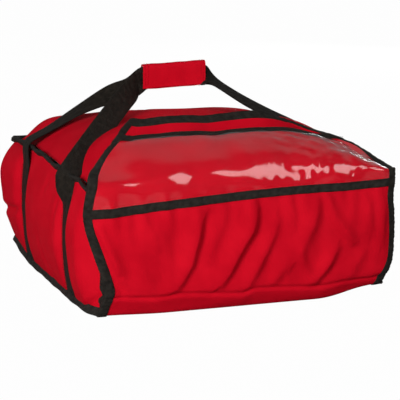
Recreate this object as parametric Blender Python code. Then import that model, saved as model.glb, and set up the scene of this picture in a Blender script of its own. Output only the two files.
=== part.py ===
"""A soft-sided insulated pizza delivery bag with an open front, closed by a flap that folds up over it.

Metres, +Z up, standing on Z = 0, centred on X = Y = 0, with the flap at the front, on -Y.
Every wall is a stack of a red outer shell, foam padding and a foil lining. Black tape binds the seams
and the flap's edges. The flap hangs on a sewn fold low on the front, bends over the front top edge and
holds on the top with hook and loop tape. Two webbing straps run up the end panels and meet in a wrap.
"""

import math

import bmesh
import bpy
from mathutils import Vector

# Size of the bag between its seams, and how far its soft faces swell past them.
SEAM_WIDTH = 0.508
SEAM_DEPTH = 0.508
SEAM_HEIGHT = 0.203
END_BULGE = 0.016
BACK_BULGE = 0.008
FRONT_BULGE = 0.008
TOP_CROWN = 0.067
FRONT_CROWN = 0.018
FRONT_CROWN_FORWARD = 0.088
FRONT_CROWN_REACH = 0.052
CORNER_LIFT = 0.014
BACK_CORNER_RADIUS = 0.022

# The layers of a wall, and the clearance between two pieces that touch.
SHELL = 0.0008
PADDING = 0.008
LINING = 0.0006
GAP = 0.0003

# The flap's cut and the height of the sewn fold that it hangs on.
FRONT_FOLD_HEIGHT = 0.018
FLAP_LENGTH = 0.136
FLAP_END_HALF_WIDTH = 0.146
FLAP_OVERHANG = 0.002

# Binding on the flap's edges, on the seams and round the mouth.
BINDING_WIDTH = 0.015
BINDING_PROUD = 0.0006
SEAM_BINDING_REACH = 0.005
MOUTH_BINDING_DEPTH = 0.006

# The ticket pocket on the flap: a clear sheet, the tape over its foot and the binding on its open edge.
WINDOW_THICKNESS = 0.0006
WINDOW_LENGTH = 0.094
WINDOW_TAPE_WIDTH = 0.015
WINDOW_TAPE_THICKNESS = 0.0012
WINDOW_TAPE_DROP = 0.022
WINDOW_BINDING_WIDTH = 0.008
WINDOW_BINDING_THICKNESS = 0.0014

# Hook and loop tape that holds the flap shut.
CLOSURE_LENGTH = 0.190
LOOP_TAPE_WIDTH = 0.050
LOOP_TAPE_THICKNESS = 0.0014
HOOK_TAPE_WIDTH = 0.025
HOOK_TAPE_THICKNESS = 0.0013
HOOK_TAPE_SETBACK = 0.018

# Carrying straps: the webbing, how far apart they are sewn, and the way each handle rises to the wrap.
WEBBING_WIDTH = 0.038
WEBBING_THICKNESS = 0.002
STRAP_SPACING = 0.254
STRAP_BOW = 0.006
STRAP_TURN_RISE = 0.012

# The wrap that joins the two handles, placed by a radius and a lean about the swing axis.
GRIP_LENGTH = 0.117
GRIP_RADIUS = 0.166
GRIP_LEAN = math.radians(39.0)
GRIP_PADDING = 0.003
GRIP_CLOTH = 0.001
GRIP_TAPE_THICKNESS = 0.001
GRIP_TAPE_WIDTH = 0.020
GRIP_TAPE_LENGTH = 0.100
GRIP_LEAF_RISE = 0.030

# Sections of the seam bindings, as shares (out, up). Outward shares are of the reach and inward ones of the
# wall. Upward shares are of the rise over the top seam and of the wall at the bottom seam.
TOP_BINDING_SHARES = ((-1, -1), (0.06, -1), (0.8, -0.6), (1, -0.1), (0.6, 0.7), (-0.2, 1), (-0.8, 0.6), (-1, 0))
BOTTOM_BINDING_SHARES = ((-1, 1), (0.06, 1), (0.9, 0.8), (1, 0.3), (0.6, 0.08), (-0.2, 0), (-1, 0))
FLAP_CHAMFER_SHARE = 0.2
FLAP_END_SHARES = (0.6, 0.2)

# How square the crown and the bulges are, and where the shell starts to lift off the floor.
CROWN_POWER_X = 4
CROWN_POWER_Y = 5
WALL_BULGE_POWER = 4
FRONT_BULGE_POWER = 3
LIFT_START_SHARE = 0.5

# Where the faces' grids have their rows and columns, as shares of a half or of a whole.
TOP_GRID_SHARES = (-1, -0.94, -0.85, -0.72, -0.54, -0.28, 0, 0.28, 0.54, 0.72, 0.85, 0.94, 1)
BOTTOM_ROW_SHARES = (-1, -0.85, -0.7, -0.5, 0, 0.5, 0.7, 0.85, 1)
WALL_ROW_SHARES = (0, 0.05, 0.13, 0.27, 0.5, 0.73, 0.87, 0.95, 1)
SEWN_STRAP_ROWS = 7
COLUMN_SHARES = (-1, -0.86, -0.7, -0.5, -0.25, 0, 0.25, 0.5, 0.7, 0.86, 1)
FLAP_FRONT_ROW_SHARES = (0, 0.1, 0.25, 0.45, 0.65, 0.85, 1)
WINDOW_ROWS = 6
FLAP_END_ROWS = 4
CLOSURE_STEPS = 8
WEBBING_STEPS = 2
CORNER_STEPS = 3
FRONT_CURL_STEPS = 4
STRAP_SHARES = (0.0, 0.08, 0.18, 0.3, 0.42, 0.55, 0.68, 0.8, 0.9, 1.0)
FRONT_TWIST_SHARES = (0.0, 0.03, 0.08, 0.16, 0.28, 0.42, 0.58, 0.76, 0.9, 1.0)
BACK_TWIST_SHARES = (0.0, 0.0, 0.03, 0.1, 0.25, 0.45, 0.68, 0.86, 0.95, 1.0)
SMOOTH_ANGLE = math.radians(40.0)

# Places that follow from the sizes above.
WALL = SHELL + GAP + PADDING + GAP + LINING
SHELL_DEPTHS = (0.0, SHELL)
PADDING_DEPTHS = (SHELL + GAP, SHELL + GAP + PADDING)
LINING_DEPTHS = (WALL - LINING, WALL)
PANEL_HALF_WIDTH = SEAM_WIDTH / 2 - WALL - GAP
PANEL_BACK = SEAM_DEPTH / 2 - WALL - GAP
PANEL_CORNER_RADIUS = BACK_CORNER_RADIUS - WALL - GAP
FRONT = -SEAM_DEPTH / 2
CURL_START = FRONT + FRONT_FOLD_HEIGHT
MOUTH_BINDING_FRONT = FRONT + WALL + 2 * GAP
MOUTH_BINDING_BACK = MOUTH_BINDING_FRONT + MOUTH_BINDING_DEPTH
MOUTH = MOUTH_BINDING_BACK + GAP
FLAP_GAP = GAP + LOOP_TAPE_THICKNESS + GAP + HOOK_TAPE_THICKNESS + 2 * GAP
SEAM_BINDING_RISE = FLAP_GAP - 2 * GAP
FOLD_HEIGHT = SEAM_HEIGHT + FLAP_GAP + WALL
FLAP_FRONT_BASE = FRONT_FOLD_HEIGHT + GAP
FLAP_FRONT_TOP = FOLD_HEIGHT - WALL - GAP
WINDOW_TAPE_HIGH = FOLD_HEIGHT - WINDOW_TAPE_DROP
WINDOW_TAPE_LOW = WINDOW_TAPE_HIGH - WINDOW_TAPE_WIDTH
WINDOW_END = FRONT + WINDOW_LENGTH
WINDOW_STAND = BINDING_PROUD + GAP
FLAP_END = FRONT + FLAP_LENGTH
FLAP_HALF_WIDTH = SEAM_WIDTH / 2 + FLAP_OVERHANG
FLAP_TAPER = math.atan2(FLAP_HALF_WIDTH - FLAP_END_HALF_WIDTH, FLAP_LENGTH)
FLAP_INSET = BINDING_WIDTH / math.cos(FLAP_TAPER)
STRAP_Y = STRAP_SPACING / 2
GRIP_NEAR = WEBBING_THICKNESS + GAP / 2 + GAP
GRIP_PADDED = GRIP_NEAR + GRIP_PADDING
GRIP_FAR = GRIP_PADDED + GAP + GRIP_CLOTH
GRIP_BRIM = -WEBBING_WIDTH / 2

# Finishes: name, colour with its opacity, roughness and metallic share.
FINISHES = {
    "red": ("red_nylon", (0.54, 0.004, 0.016, 1.0), 0.6, 0.0),
    "tape": ("black_tape", (0.022, 0.021, 0.019, 1.0), 0.75, 0.0),
    "webbing": ("black_webbing", (0.02, 0.018, 0.016, 1.0), 0.8, 0.0),
    "hook": ("hook_and_loop", (0.02, 0.02, 0.02, 1.0), 0.9, 0.0),
    "foam": ("foam", (0.86, 0.86, 0.83, 1.0), 0.9, 0.0),
    "foil": ("foil_lining", (0.72, 0.73, 0.74, 1.0), 0.3, 0.8),
    "clear": ("clear_vinyl", (0.9, 0.9, 0.9, 0.3), 0.12, 0.0),
}


def clear_scene():
    for obj in list(bpy.data.objects):
        bpy.data.objects.remove(obj)


def make_material(name, colour, roughness, metallic):
    material = bpy.data.materials.new(name)
    material.use_nodes = True
    shader = material.node_tree.nodes["Principled BSDF"]
    shader.inputs["Base Color"].default_value = colour
    shader.inputs["Alpha"].default_value = colour[3]
    shader.inputs["Roughness"].default_value = roughness
    shader.inputs["Metallic"].default_value = metallic
    return material


def smoothstep(share):
    share = min(1.0, max(0.0, share))
    return share * share * (3 - 2 * share)


def add_object(name, bm, material, pivot):
    """Turns a closed bmesh in world places into an object, under its pivot where it has one."""
    bmesh.ops.recalc_face_normals(bm, faces=bm.faces[:])
    if bm.calc_volume(signed=True) < 0:
        bmesh.ops.reverse_faces(bm, faces=bm.faces[:])
    if pivot is not None:
        bmesh.ops.translate(bm, verts=bm.verts[:], vec=-pivot.location)
    mesh = bpy.data.meshes.new(name)
    bm.to_mesh(mesh)
    bm.free()
    mesh.shade_smooth()
    mesh.set_sharp_from_angle(angle=SMOOTH_ANGLE)
    mesh.materials.append(material)
    obj = bpy.data.objects.new(name, mesh)
    bpy.context.scene.collection.objects.link(obj)
    obj.parent = pivot
    return obj


def sheet(name, columns, rows, point_at, material, pivot=None):
    """A closed sheet on a grid. point_at(column, row, side) gives its outer face at side 0, its inner at 1."""
    bm = bmesh.new()
    column_of = bm.verts.layers.int.new("column")
    row_of = bm.verts.layers.int.new("row")
    bmesh.ops.create_grid(bm, x_segments=columns - 1, y_segments=rows - 1, size=1.0)
    for vert in bm.verts:
        vert[column_of] = round((vert.co.x + 1) / 2 * (columns - 1))
        vert[row_of] = round((vert.co.y + 1) / 2 * (rows - 1))
    bmesh.ops.triangulate(bm, faces=bm.faces[:], quad_method="FIXED")
    made = bmesh.ops.extrude_face_region(bm, geom=bm.faces[:])["geom"]
    inner = {vert for vert in made if isinstance(vert, bmesh.types.BMVert)}
    for vert in bm.verts:
        vert.co = point_at(vert[column_of], vert[row_of], 1 if vert in inner else 0)
    return add_object(name, bm, material, pivot)


def loft(name, rings, material, pivot=None):
    """A closed bar through a list of rings, which all have the same number of points."""
    bm = bmesh.new()
    loops = [[bm.verts.new(point) for point in ring] for ring in rings]
    count = len(loops[0])
    for near, far in zip(loops, loops[1:]):
        for k in range(count):
            following = (k + 1) % count
            bm.faces.new((near[k], near[following], far[following], far[k]))
    bm.faces.new(loops[0])
    bm.faces.new(loops[-1])
    bmesh.ops.triangulate(bm, faces=bm.faces[:], quad_method="FIXED")
    return add_object(name, bm, material, pivot)


def layers(prefix):
    """The three layers of a wall: name, depths of the outer and inner face, and finish."""
    return (
        (prefix + "_shell", SHELL_DEPTHS, "red"),
        (prefix + "_padding", PADDING_DEPTHS, "foam"),
        (prefix + "_lining", LINING_DEPTHS, "foil"),
    )


def crown_height(x, y):
    """Height of the top panel's outer face, which is level along its edges and fullest before its middle."""
    inset = max(0.0, y - (PANEL_BACK - PANEL_CORNER_RADIUS))
    rounded = math.sqrt(max(0.0, PANEL_CORNER_RADIUS**2 - inset**2))
    half_width = PANEL_HALF_WIDTH - PANEL_CORNER_RADIUS + rounded
    across = min(1.0, abs(x) / half_width)
    middle, half_depth = (PANEL_BACK + MOUTH) / 2, (PANEL_BACK - MOUTH) / 2
    along = min(1.0, abs(y - middle) / half_depth)
    fuller = FRONT_CROWN * math.exp(-(((y + FRONT_CROWN_FORWARD) / FRONT_CROWN_REACH) ** 2))
    crown = TOP_CROWN + fuller
    return SEAM_HEIGHT + crown * (1 - across**CROWN_POWER_X) * (1 - along**CROWN_POWER_Y)


def corner_lift(x, y):
    """How far the bottom rises off the floor towards its corners."""
    span = 1 - LIFT_START_SHARE
    across = smoothstep((abs(x) / (SEAM_WIDTH / 2) - LIFT_START_SHARE) / span)
    along = smoothstep((abs(y) / (SEAM_DEPTH / 2) - LIFT_START_SHARE) / span)
    return CORNER_LIFT * across * along


def panel_rows(shares, front):
    """Rows of a panel from front to back, each (y, half width), with its back corners rounded."""
    straight_end = PANEL_BACK - PANEL_CORNER_RADIUS
    middle, half = (straight_end + front) / 2, (straight_end - front) / 2
    rows = [(middle + share * half, PANEL_HALF_WIDTH) for share in shares]
    for step in range(1, CORNER_STEPS + 1):
        turn = math.pi / 2 * step / CORNER_STEPS
        y = straight_end + PANEL_CORNER_RADIUS * math.sin(turn)
        rows.append((y, PANEL_HALF_WIDTH - PANEL_CORNER_RADIUS * (1 - math.cos(turn))))
    return rows


def build_top(finishes):
    rows = panel_rows(TOP_GRID_SHARES, MOUTH)
    for name, depths, finish in layers("top"):

        def point_at(column, row, side, depths=depths):
            y, half_width = rows[row]
            x = TOP_GRID_SHARES[column] * half_width
            return Vector((x, y, crown_height(x, y) - depths[side]))

        sheet(name, len(TOP_GRID_SHARES), len(rows), point_at, finishes[finish])


def build_bottom(finishes):
    """The bottom panel, which curls up at the front to the fold that the flap hangs on."""
    rows = [(y, half_width, 0.0) for y, half_width in reversed(panel_rows(BOTTOM_ROW_SHARES, CURL_START))]
    for step in range(1, FRONT_CURL_STEPS + 1):
        rows.append((CURL_START, PANEL_HALF_WIDTH, math.pi / 2 * step / FRONT_CURL_STEPS))
    for name, depths, finish in layers("bottom"):

        def point_at(column, row, side, depths=depths):
            y, half_width, turn = rows[row]
            x = COLUMN_SHARES[column] * half_width
            forward = (FRONT_FOLD_HEIGHT - depths[side]) * math.sin(turn)
            rise = FRONT_FOLD_HEIGHT * (1 - math.cos(turn)) + depths[side] * math.cos(turn)
            return Vector((x, y - forward, corner_lift(x, y) + rise))

        sheet(name, len(COLUMN_SHARES), len(rows), point_at, finishes[finish])


def wall_path():
    """Stations (point, outward normal) on the seam line, from the mouth's left edge round to its right edge."""
    half_width, half_depth, radius = SEAM_WIDTH / 2, SEAM_DEPTH / 2, BACK_CORNER_RADIUS
    half_strap = WEBBING_WIDTH / 2
    front_edges = (-STRAP_Y - half_strap, -STRAP_Y + half_strap)
    back_edges = (STRAP_Y - half_strap, STRAP_Y + half_strap)
    depths = (MOUTH, *front_edges, 0.0, *back_edges, half_depth - radius)
    left = [(Vector((-half_width, y, 0)), Vector((-1, 0, 0))) for y in depths]
    centre = Vector((-half_width + radius, half_depth - radius, 0))
    for step in range(1, CORNER_STEPS + 1):
        turn = math.pi / 2 * step / CORNER_STEPS
        outward = Vector((-math.cos(turn), math.sin(turn), 0))
        left.append((centre + radius * outward, outward))
    middle = [(Vector((0, half_depth, 0)), Vector((0, 1, 0)))]
    right = [(Vector((-p.x, p.y, 0)), Vector((-n.x, n.y, 0))) for p, n in reversed(left)]
    return left + middle + right


def wall_bulge(share, normal):
    """How far the wall swells out at a share of its height. It swells less at the back than at the ends."""
    amount = END_BULGE * abs(normal.x) ** 2 + BACK_BULGE * abs(normal.y) ** 2
    return amount * (1 - abs(2 * share - 1) ** WALL_BULGE_POWER)


def wall_point(station, share, depth):
    point, normal = station
    low = corner_lift(point.x, point.y) + WALL + GAP
    high = SEAM_HEIGHT - WALL - GAP
    place = point + normal * (wall_bulge(share, normal) - depth)
    return Vector((place.x, place.y, low + share * (high - low)))


def build_wall(finishes):
    """The wall round the ends and the back: one shell and one lining, and a pad for each side."""
    path = wall_path()
    turn = len(path) // 2 - CORNER_STEPS
    back = path[turn - 1 : len(path) - turn + 1]
    back[0] = (back[0][0] + Vector((0, 2 * GAP, 0)), back[0][1])
    back[-1] = (back[-1][0] + Vector((0, 2 * GAP, 0)), back[-1][1])
    strips = (
        ("wall_shell", path, SHELL_DEPTHS, "red"),
        ("wall_lining", path, LINING_DEPTHS, "foil"),
        ("end_padding_left", path[:turn], PADDING_DEPTHS, "foam"),
        ("back_padding", back, PADDING_DEPTHS, "foam"),
        ("end_padding_right", path[-turn:], PADDING_DEPTHS, "foam"),
    )
    for name, stations, depths, finish in strips:

        def point_at(column, row, side, stations=stations, depths=depths):
            return wall_point(stations[column], WALL_ROW_SHARES[row], depths[side])

        sheet(name, len(stations), len(WALL_ROW_SHARES), point_at, finishes[finish])


def binding_ring(station, height, shares, rise):
    """A section of a seam binding at a station of the seam line, from its table of shares."""
    point, normal = station
    ring = []
    for out_share, up_share in shares:
        out = out_share * (SEAM_BINDING_REACH if out_share > 0 else WALL)
        up = up_share * (rise if up_share > 0 else WALL)
        ring.append(point + normal * out + Vector((0, 0, height + up)))
    return ring


def build_seam_bindings(finishes):
    """Black tape over the seams that join the wall to the top panel and to the bottom panel."""
    path = wall_path()
    top = [binding_ring(station, SEAM_HEIGHT, TOP_BINDING_SHARES, SEAM_BINDING_RISE) for station in path]
    loft("top_seam_binding", top, finishes["tape"])
    path[0][0].y = path[-1][0].y = MOUTH_BINDING_FRONT
    bottom = []
    for station in path:
        lift = corner_lift(station[0].x, max(station[0].y, MOUTH))
        bottom.append(binding_ring(station, lift, BOTTOM_BINDING_SHARES, WALL))
    loft("bottom_seam_binding", bottom, finishes["tape"])


def build_mouth_binding(finishes):
    """Black tape up the front edge of one end, along the top panel's front edge and down the other end."""
    front, back = MOUTH_BINDING_FRONT, MOUTH_BINDING_BACK
    station = wall_path()[0]
    edges = [(wall_point(station, share, 0.0), wall_point(station, share, WALL)) for share in WALL_ROW_SHARES]
    half = SEAM_WIDTH / 2
    edges.append((Vector((-half, 0, SEAM_HEIGHT)), Vector((WALL - half, 0, SEAM_HEIGHT - WALL))))
    rings = []
    for outer, inner in edges:
        corners = ((outer, front), (outer, back), (inner, back), (inner, front))
        rings.append([Vector((edge.x, y, edge.z)) for edge, y in corners])
    rings += [[Vector((-p.x, p.y, p.z)) for p in ring] for ring in reversed(rings)]
    loft("mouth_binding", rings, finishes["tape"])


def flap_side(height):
    """Half the width of the flap's front part at a height. It covers the swollen ends."""
    low = CORNER_LIFT + WALL + GAP
    high = SEAM_HEIGHT - WALL - GAP
    share = min(1.0, max(0.0, (height - low) / (high - low)))
    return FLAP_HALF_WIDTH + wall_bulge(share, Vector((1, 0, 0)))


def flap_front_y(x, height):
    """Where the outer face of the flap's front part lies."""
    across = min(1.0, abs(x) / FLAP_HALF_WIDTH)
    share = (height - FLAP_FRONT_BASE) / (FLAP_FRONT_TOP - FLAP_FRONT_BASE)
    upright = abs(2 * min(1.0, max(0.0, share)) - 1)
    return FRONT - FRONT_BULGE * (1 - across**CROWN_POWER_X) * (1 - upright**FRONT_BULGE_POWER)


def flap_front_point(share, height, depth):
    x = share * (flap_side(height) - BINDING_WIDTH - GAP)
    return Vector((x, flap_front_y(x, height) + depth, height))


def flap_front_heights(share):
    """Heights of the rows of the flap's front part at a share of its width. Its foot rises at the corners."""
    low = FLAP_FRONT_BASE + corner_lift(share * FLAP_HALF_WIDTH, CURL_START)
    heights = [low + row_share * (WINDOW_TAPE_LOW - low) for row_share in FLAP_FRONT_ROW_SHARES]
    return heights + [WINDOW_TAPE_HIGH, FLAP_FRONT_TOP]


def build_flap_front(finishes, pivot):
    """The flap's front part: its layers, the bindings on its sides, and the foot of the ticket pocket."""
    rows = len(flap_front_heights(0))
    for name, depths, finish in layers("flap_front"):

        def point_at(column, row, side, depths=depths):
            share = COLUMN_SHARES[column]
            return flap_front_point(share, flap_front_heights(share)[row], depths[side])

        sheet(name, len(COLUMN_SHARES), rows, point_at, finishes[finish], pivot)
    build_flap_side_bindings(finishes, pivot)
    front_strip(
        "window_lower_tape", (WINDOW_TAPE_LOW, WINDOW_TAPE_HIGH), WINDOW_TAPE_THICKNESS, finishes["tape"], pivot
    )
    front_strip(
        "window_sheet_front", (WINDOW_TAPE_HIGH + GAP, FLAP_FRONT_TOP), WINDOW_THICKNESS, finishes["clear"], pivot
    )


def build_flap_side_bindings(finishes, pivot):
    chamfer = FLAP_CHAMFER_SHARE * BINDING_WIDTH
    for side, label in ((-1, "left"), (1, "right")):
        rings = []
        for height in flap_front_heights(1):
            outer = flap_side(height)
            inner = outer - BINDING_WIDTH
            face = flap_front_y(inner, height)
            near, far = face - BINDING_PROUD, face + WALL
            plan = (
                (inner, near),
                (outer - chamfer, near),
                (outer, near + chamfer),
                (outer, far - chamfer),
                (outer - chamfer, far),
                (inner, far),
            )
            rings.append([Vector((side * x, y, height)) for x, y in plan])
        loft("flap_front_binding_" + label, rings, finishes["tape"], pivot)


def front_strip(name, heights, thickness, material, pivot):
    """A flat strip on the face of the flap's front part, between two heights."""

    def point_at(column, row, side):
        return flap_front_point(COLUMN_SHARES[column], heights[row], -GAP - (1 - side) * thickness)

    sheet(name, len(COLUMN_SHARES), len(heights), point_at, material, pivot)


def flap_half_width(y):
    """Half the width of the flap's top part, which tapers to clear the straps."""
    return FLAP_HALF_WIDTH + (y - FRONT) / FLAP_LENGTH * (FLAP_END_HALF_WIDTH - FLAP_HALF_WIDTH)


def flap_top_point(x, y, up):
    """A point at a height over the outer face of the flap's top part, which lies over the top panel."""
    return Vector((x, y, crown_height(x, max(y, MOUTH)) + FLAP_GAP + WALL + up))


def flap_top_rows():
    """Depths of the rows of the flap's top part. The mouth's edge and the window's end are among them."""
    rows = [FRONT, MOUTH]
    rows += [MOUTH + (WINDOW_END - MOUTH) * step / WINDOW_ROWS for step in range(1, WINDOW_ROWS + 1)]
    last = FLAP_END - BINDING_WIDTH - GAP
    rows += [WINDOW_END + (last - WINDOW_END) * step / FLAP_END_ROWS for step in range(1, FLAP_END_ROWS + 1)]
    return rows


def build_flap_top(finishes, pivot):
    """The flap's top part, from the front top edge to its end on the crown."""
    rows = flap_top_rows()
    inset = FLAP_INSET + GAP / math.cos(FLAP_TAPER)
    for name, depths, finish in layers("flap_top"):

        def point_at(column, row, side, depths=depths):
            x = COLUMN_SHARES[column] * (flap_half_width(rows[row]) - inset)
            return flap_top_point(x, rows[row], -depths[side])

        sheet(name, len(COLUMN_SHARES), len(rows), point_at, finishes[finish], pivot)
    build_flap_top_binding(finishes, pivot)
    build_window_top(finishes, pivot)
    build_closure(finishes, pivot)


def build_flap_top_binding(finishes, pivot):
    """Binding round the tapered sides and the end of the flap's top part, as one mitred band."""
    outline = []
    for y in flap_top_rows():
        outer_y = FRONT + (y - FRONT) * FLAP_LENGTH / (FLAP_LENGTH - BINDING_WIDTH - GAP)
        inner_y = outer_y - BINDING_WIDTH * (outer_y - FRONT) / FLAP_LENGTH
        outline.append(((-flap_half_width(outer_y), outer_y), (FLAP_INSET - flap_half_width(inner_y), inner_y)))
    outer, inner = outline[-1]
    outline += [((share * outer[0], outer[1]), (share * inner[0], inner[1])) for share in FLAP_END_SHARES]
    outline += [((-outer[0], outer[1]), (-inner[0], inner[1])) for outer, inner in reversed(outline)]
    rings = []
    for (outer_x, outer_y), (inner_x, inner_y) in outline:
        rings.append(
            [
                flap_top_point(outer_x, outer_y, GAP - WALL),
                flap_top_point(inner_x, inner_y, GAP - WALL),
                flap_top_point(inner_x, inner_y, BINDING_PROUD),
                flap_top_point(outer_x, outer_y, BINDING_PROUD),
            ]
        )
    loft("flap_top_binding", rings, finishes["tape"], pivot)


def build_window_top(finishes, pivot):
    """The clear sheet of the ticket pocket, and the narrow binding on its open upper edge."""
    inset = FLAP_INSET + 2 * GAP / math.cos(FLAP_TAPER)
    rows = [y for y in flap_top_rows() if y <= WINDOW_END + GAP]

    def point_at(column, row, side):
        x = COLUMN_SHARES[column] * (flap_half_width(rows[row]) - inset)
        return flap_top_point(x, rows[row], WINDOW_STAND + (1 - side) * WINDOW_THICKNESS)

    sheet("window_sheet_top", len(COLUMN_SHARES), len(rows), point_at, finishes["clear"], pivot)
    near = WINDOW_END + GAP
    far = near + WINDOW_BINDING_WIDTH
    rings = []
    for share in COLUMN_SHARES:
        x = share * (flap_half_width(far) - inset)
        corners = ((near, 0), (far, 0), (far, 1), (near, 1))
        rings.append([flap_top_point(x, y, WINDOW_STAND + up * WINDOW_BINDING_THICKNESS) for y, up in corners])
    loft("window_upper_binding", rings, finishes["tape"], pivot)


def closure_tape(name, width, lift, thickness, material, pivot=None):
    """A tape across the bag, under the flap's end, with its underside at a lift over the top panel."""
    middle = FLAP_END - HOOK_TAPE_SETBACK - HOOK_TAPE_WIDTH / 2

    def point_at(column, row, side):
        x = (column / CLOSURE_STEPS - 1 / 2) * CLOSURE_LENGTH
        y = middle + (row / CLOSURE_STEPS - 1 / 2) * width
        return Vector((x, y, crown_height(x, y) + lift + (1 - side) * thickness))

    sheet(name, CLOSURE_STEPS + 1, CLOSURE_STEPS + 1, point_at, material, pivot)


def build_closure(finishes, pivot):
    closure_tape("loop_tape", LOOP_TAPE_WIDTH, GAP, LOOP_TAPE_THICKNESS, finishes["hook"])
    hook_lift = GAP + LOOP_TAPE_THICKNESS + GAP
    closure_tape("hook_tape", HOOK_TAPE_WIDTH, hook_lift, HOOK_TAPE_THICKNESS, finishes["hook"], pivot)


def webbing(name, stations, finishes, pivot=None):
    """A strap through its stations, each a centre, the direction of its width and its outward direction."""

    def point_at(column, row, side):
        centre, width, outward = stations[row]
        across = (column / WEBBING_STEPS - 1 / 2) * WEBBING_WIDTH
        return centre + width * across + outward * (1 / 2 - side) * WEBBING_THICKNESS

    sheet(name, WEBBING_STEPS + 1, len(stations), point_at, finishes["webbing"], pivot)


def build_sewn_straps(finishes):
    """The part of each strap that is sewn flat to an end panel, up to where the free handle starts."""
    normal = Vector((1, 0, 0))
    clear = GAP + WEBBING_THICKNESS / 2
    for y, label in ((-STRAP_Y, "front"), (STRAP_Y, "back")):
        for side, side_label in ((-1, "left"), (1, "right")):
            stations = []
            for row, share in enumerate(WALL_ROW_SHARES[:SEWN_STRAP_ROWS]):
                height = wall_point((Vector((SEAM_WIDTH / 2, y, 0)), normal), share, 0.0).z
                swell = SEAM_BINDING_REACH if row == 0 else wall_bulge(share, normal)
                centre = Vector((side * (SEAM_WIDTH / 2 + swell + clear), y, height))
                stations.append((centre, Vector((0, 1, 0)), side * normal))
            webbing(f"{label}_strap_{side_label}", stations, finishes)


def grip_centre():
    return Vector((0, GRIP_RADIUS * math.sin(GRIP_LEAN), SEAM_HEIGHT + GRIP_RADIUS * math.cos(GRIP_LEAN)))


def build_handle(name, anchor_y, offset, twist_shares, finishes, pivot):
    """One free handle: over the top seam of each end, up to the wrap, and through it."""
    outward, across, up = Vector((-1, 0, 0)), Vector((0, 1, 0)), Vector((0, 0, 1))
    station = (Vector((-SEAM_WIDTH / 2, anchor_y, 0)), outward)
    clear = GAP + WEBBING_THICKNESS / 2
    seam_out = SEAM_BINDING_REACH + clear
    stations = []
    for row in range(SEWN_STRAP_ROWS - 1, len(WALL_ROW_SHARES)):
        share = WALL_ROW_SHARES[row]
        foot = GAP if row == SEWN_STRAP_ROWS - 1 else 0.0
        out = max(wall_bulge(share, outward) + clear, seam_out)
        height = wall_point(station, share, 0.0).z + foot
        stations.append((Vector((-SEAM_WIDTH / 2 - out, anchor_y, height)), across, outward))
    stations.append((Vector((-SEAM_WIDTH / 2 - seam_out, anchor_y, SEAM_HEIGHT)), across, outward))
    start = Vector((-SEAM_WIDTH / 2, anchor_y, SEAM_HEIGHT + SEAM_BINDING_RISE + STRAP_TURN_RISE))
    end = grip_centre() + Vector((-GRIP_LENGTH / 2 - 2 * WEBBING_THICKNESS, offset, 0))
    run = end - start
    for share, twist in zip(STRAP_SHARES, twist_shares):
        point = start + run * share + up * (STRAP_BOW * math.sin(math.pi * share))
        slope = run + up * (STRAP_BOW * math.pi * math.cos(math.pi * share))
        along = -outward if share == 1 else slope.normalized()
        width = across.lerp(up, twist)
        width = (width - along * width.dot(along)).normalized()
        stations.append((point, width, along.cross(width)))
    mirror = Vector((-1, 1, 1))
    stations += [tuple(part * mirror for part in station) for station in reversed(stations)]
    webbing(name, stations, finishes, pivot)


def grip_bar(name, section, half_length, material, pivot):
    """A bar along the wrap, from a section drawn as (back, up) from the wrap's centre."""
    centre = grip_centre()
    rings = [[centre + Vector((x, back, up)) for back, up in section] for x in (-half_length, half_length)]
    loft(name, rings, material, pivot)


def grip_channel(near, far, roof):
    """Section of a layer that folds over both webbings and is open below."""
    return (
        (-near, GRIP_BRIM),
        (-near, roof),
        (near, roof),
        (near, GRIP_BRIM),
        (far, GRIP_BRIM),
        (far, roof + far - near),
        (-far, roof + far - near),
        (-far, GRIP_BRIM),
    )


def build_grip(finishes, swing, hinge):
    """The wrap folds down over both handles. Its leaf passes under them and holds at the back."""
    half = GRIP_LENGTH / 2
    roof = WEBBING_WIDTH / 2 + GAP
    grip_bar("grip_padding", grip_channel(GRIP_NEAR, GRIP_PADDED, roof), half, finishes["foam"], swing)
    cloth = grip_channel(GRIP_PADDED + GAP, GRIP_FAR, roof + GRIP_PADDING + GAP)
    grip_bar("grip_wrap", cloth, half, finishes["red"], swing)
    leaf_high = GRIP_BRIM + GRIP_LEAF_RISE
    tape_low = leaf_high - GRIP_TAPE_WIDTH
    tape_half = GRIP_TAPE_LENGTH / 2
    loop_near = GRIP_FAR + GAP
    hook_near = loop_near + GRIP_TAPE_THICKNESS + GAP
    leaf_near = hook_near + GRIP_TAPE_THICKNESS + GAP
    for name, near, pivot in (("grip_loop_tape", loop_near, swing), ("grip_hook_tape", hook_near, hinge)):
        far = near + GRIP_TAPE_THICKNESS
        section = ((near, tape_low), (far, tape_low), (far, leaf_high), (near, leaf_high))
        grip_bar(name, section, tape_half, finishes["hook"], pivot)
    leaf_far = leaf_near + GRIP_CLOTH
    leaf_low = GRIP_BRIM - GAP - GRIP_CLOTH
    leaf = (
        (-GRIP_FAR, GRIP_BRIM - GAP),
        (leaf_near, GRIP_BRIM - GAP),
        (leaf_near, leaf_high),
        (leaf_far, leaf_high),
        (leaf_far, leaf_low),
        (-GRIP_FAR, leaf_low),
    )
    grip_bar("grip_leaf", leaf, half, finishes["red"], hinge)


def add_pivot(name, location):
    empty = bpy.data.objects.new(name, None)
    bpy.context.scene.collection.objects.link(empty)
    empty.location = location
    return empty


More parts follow.
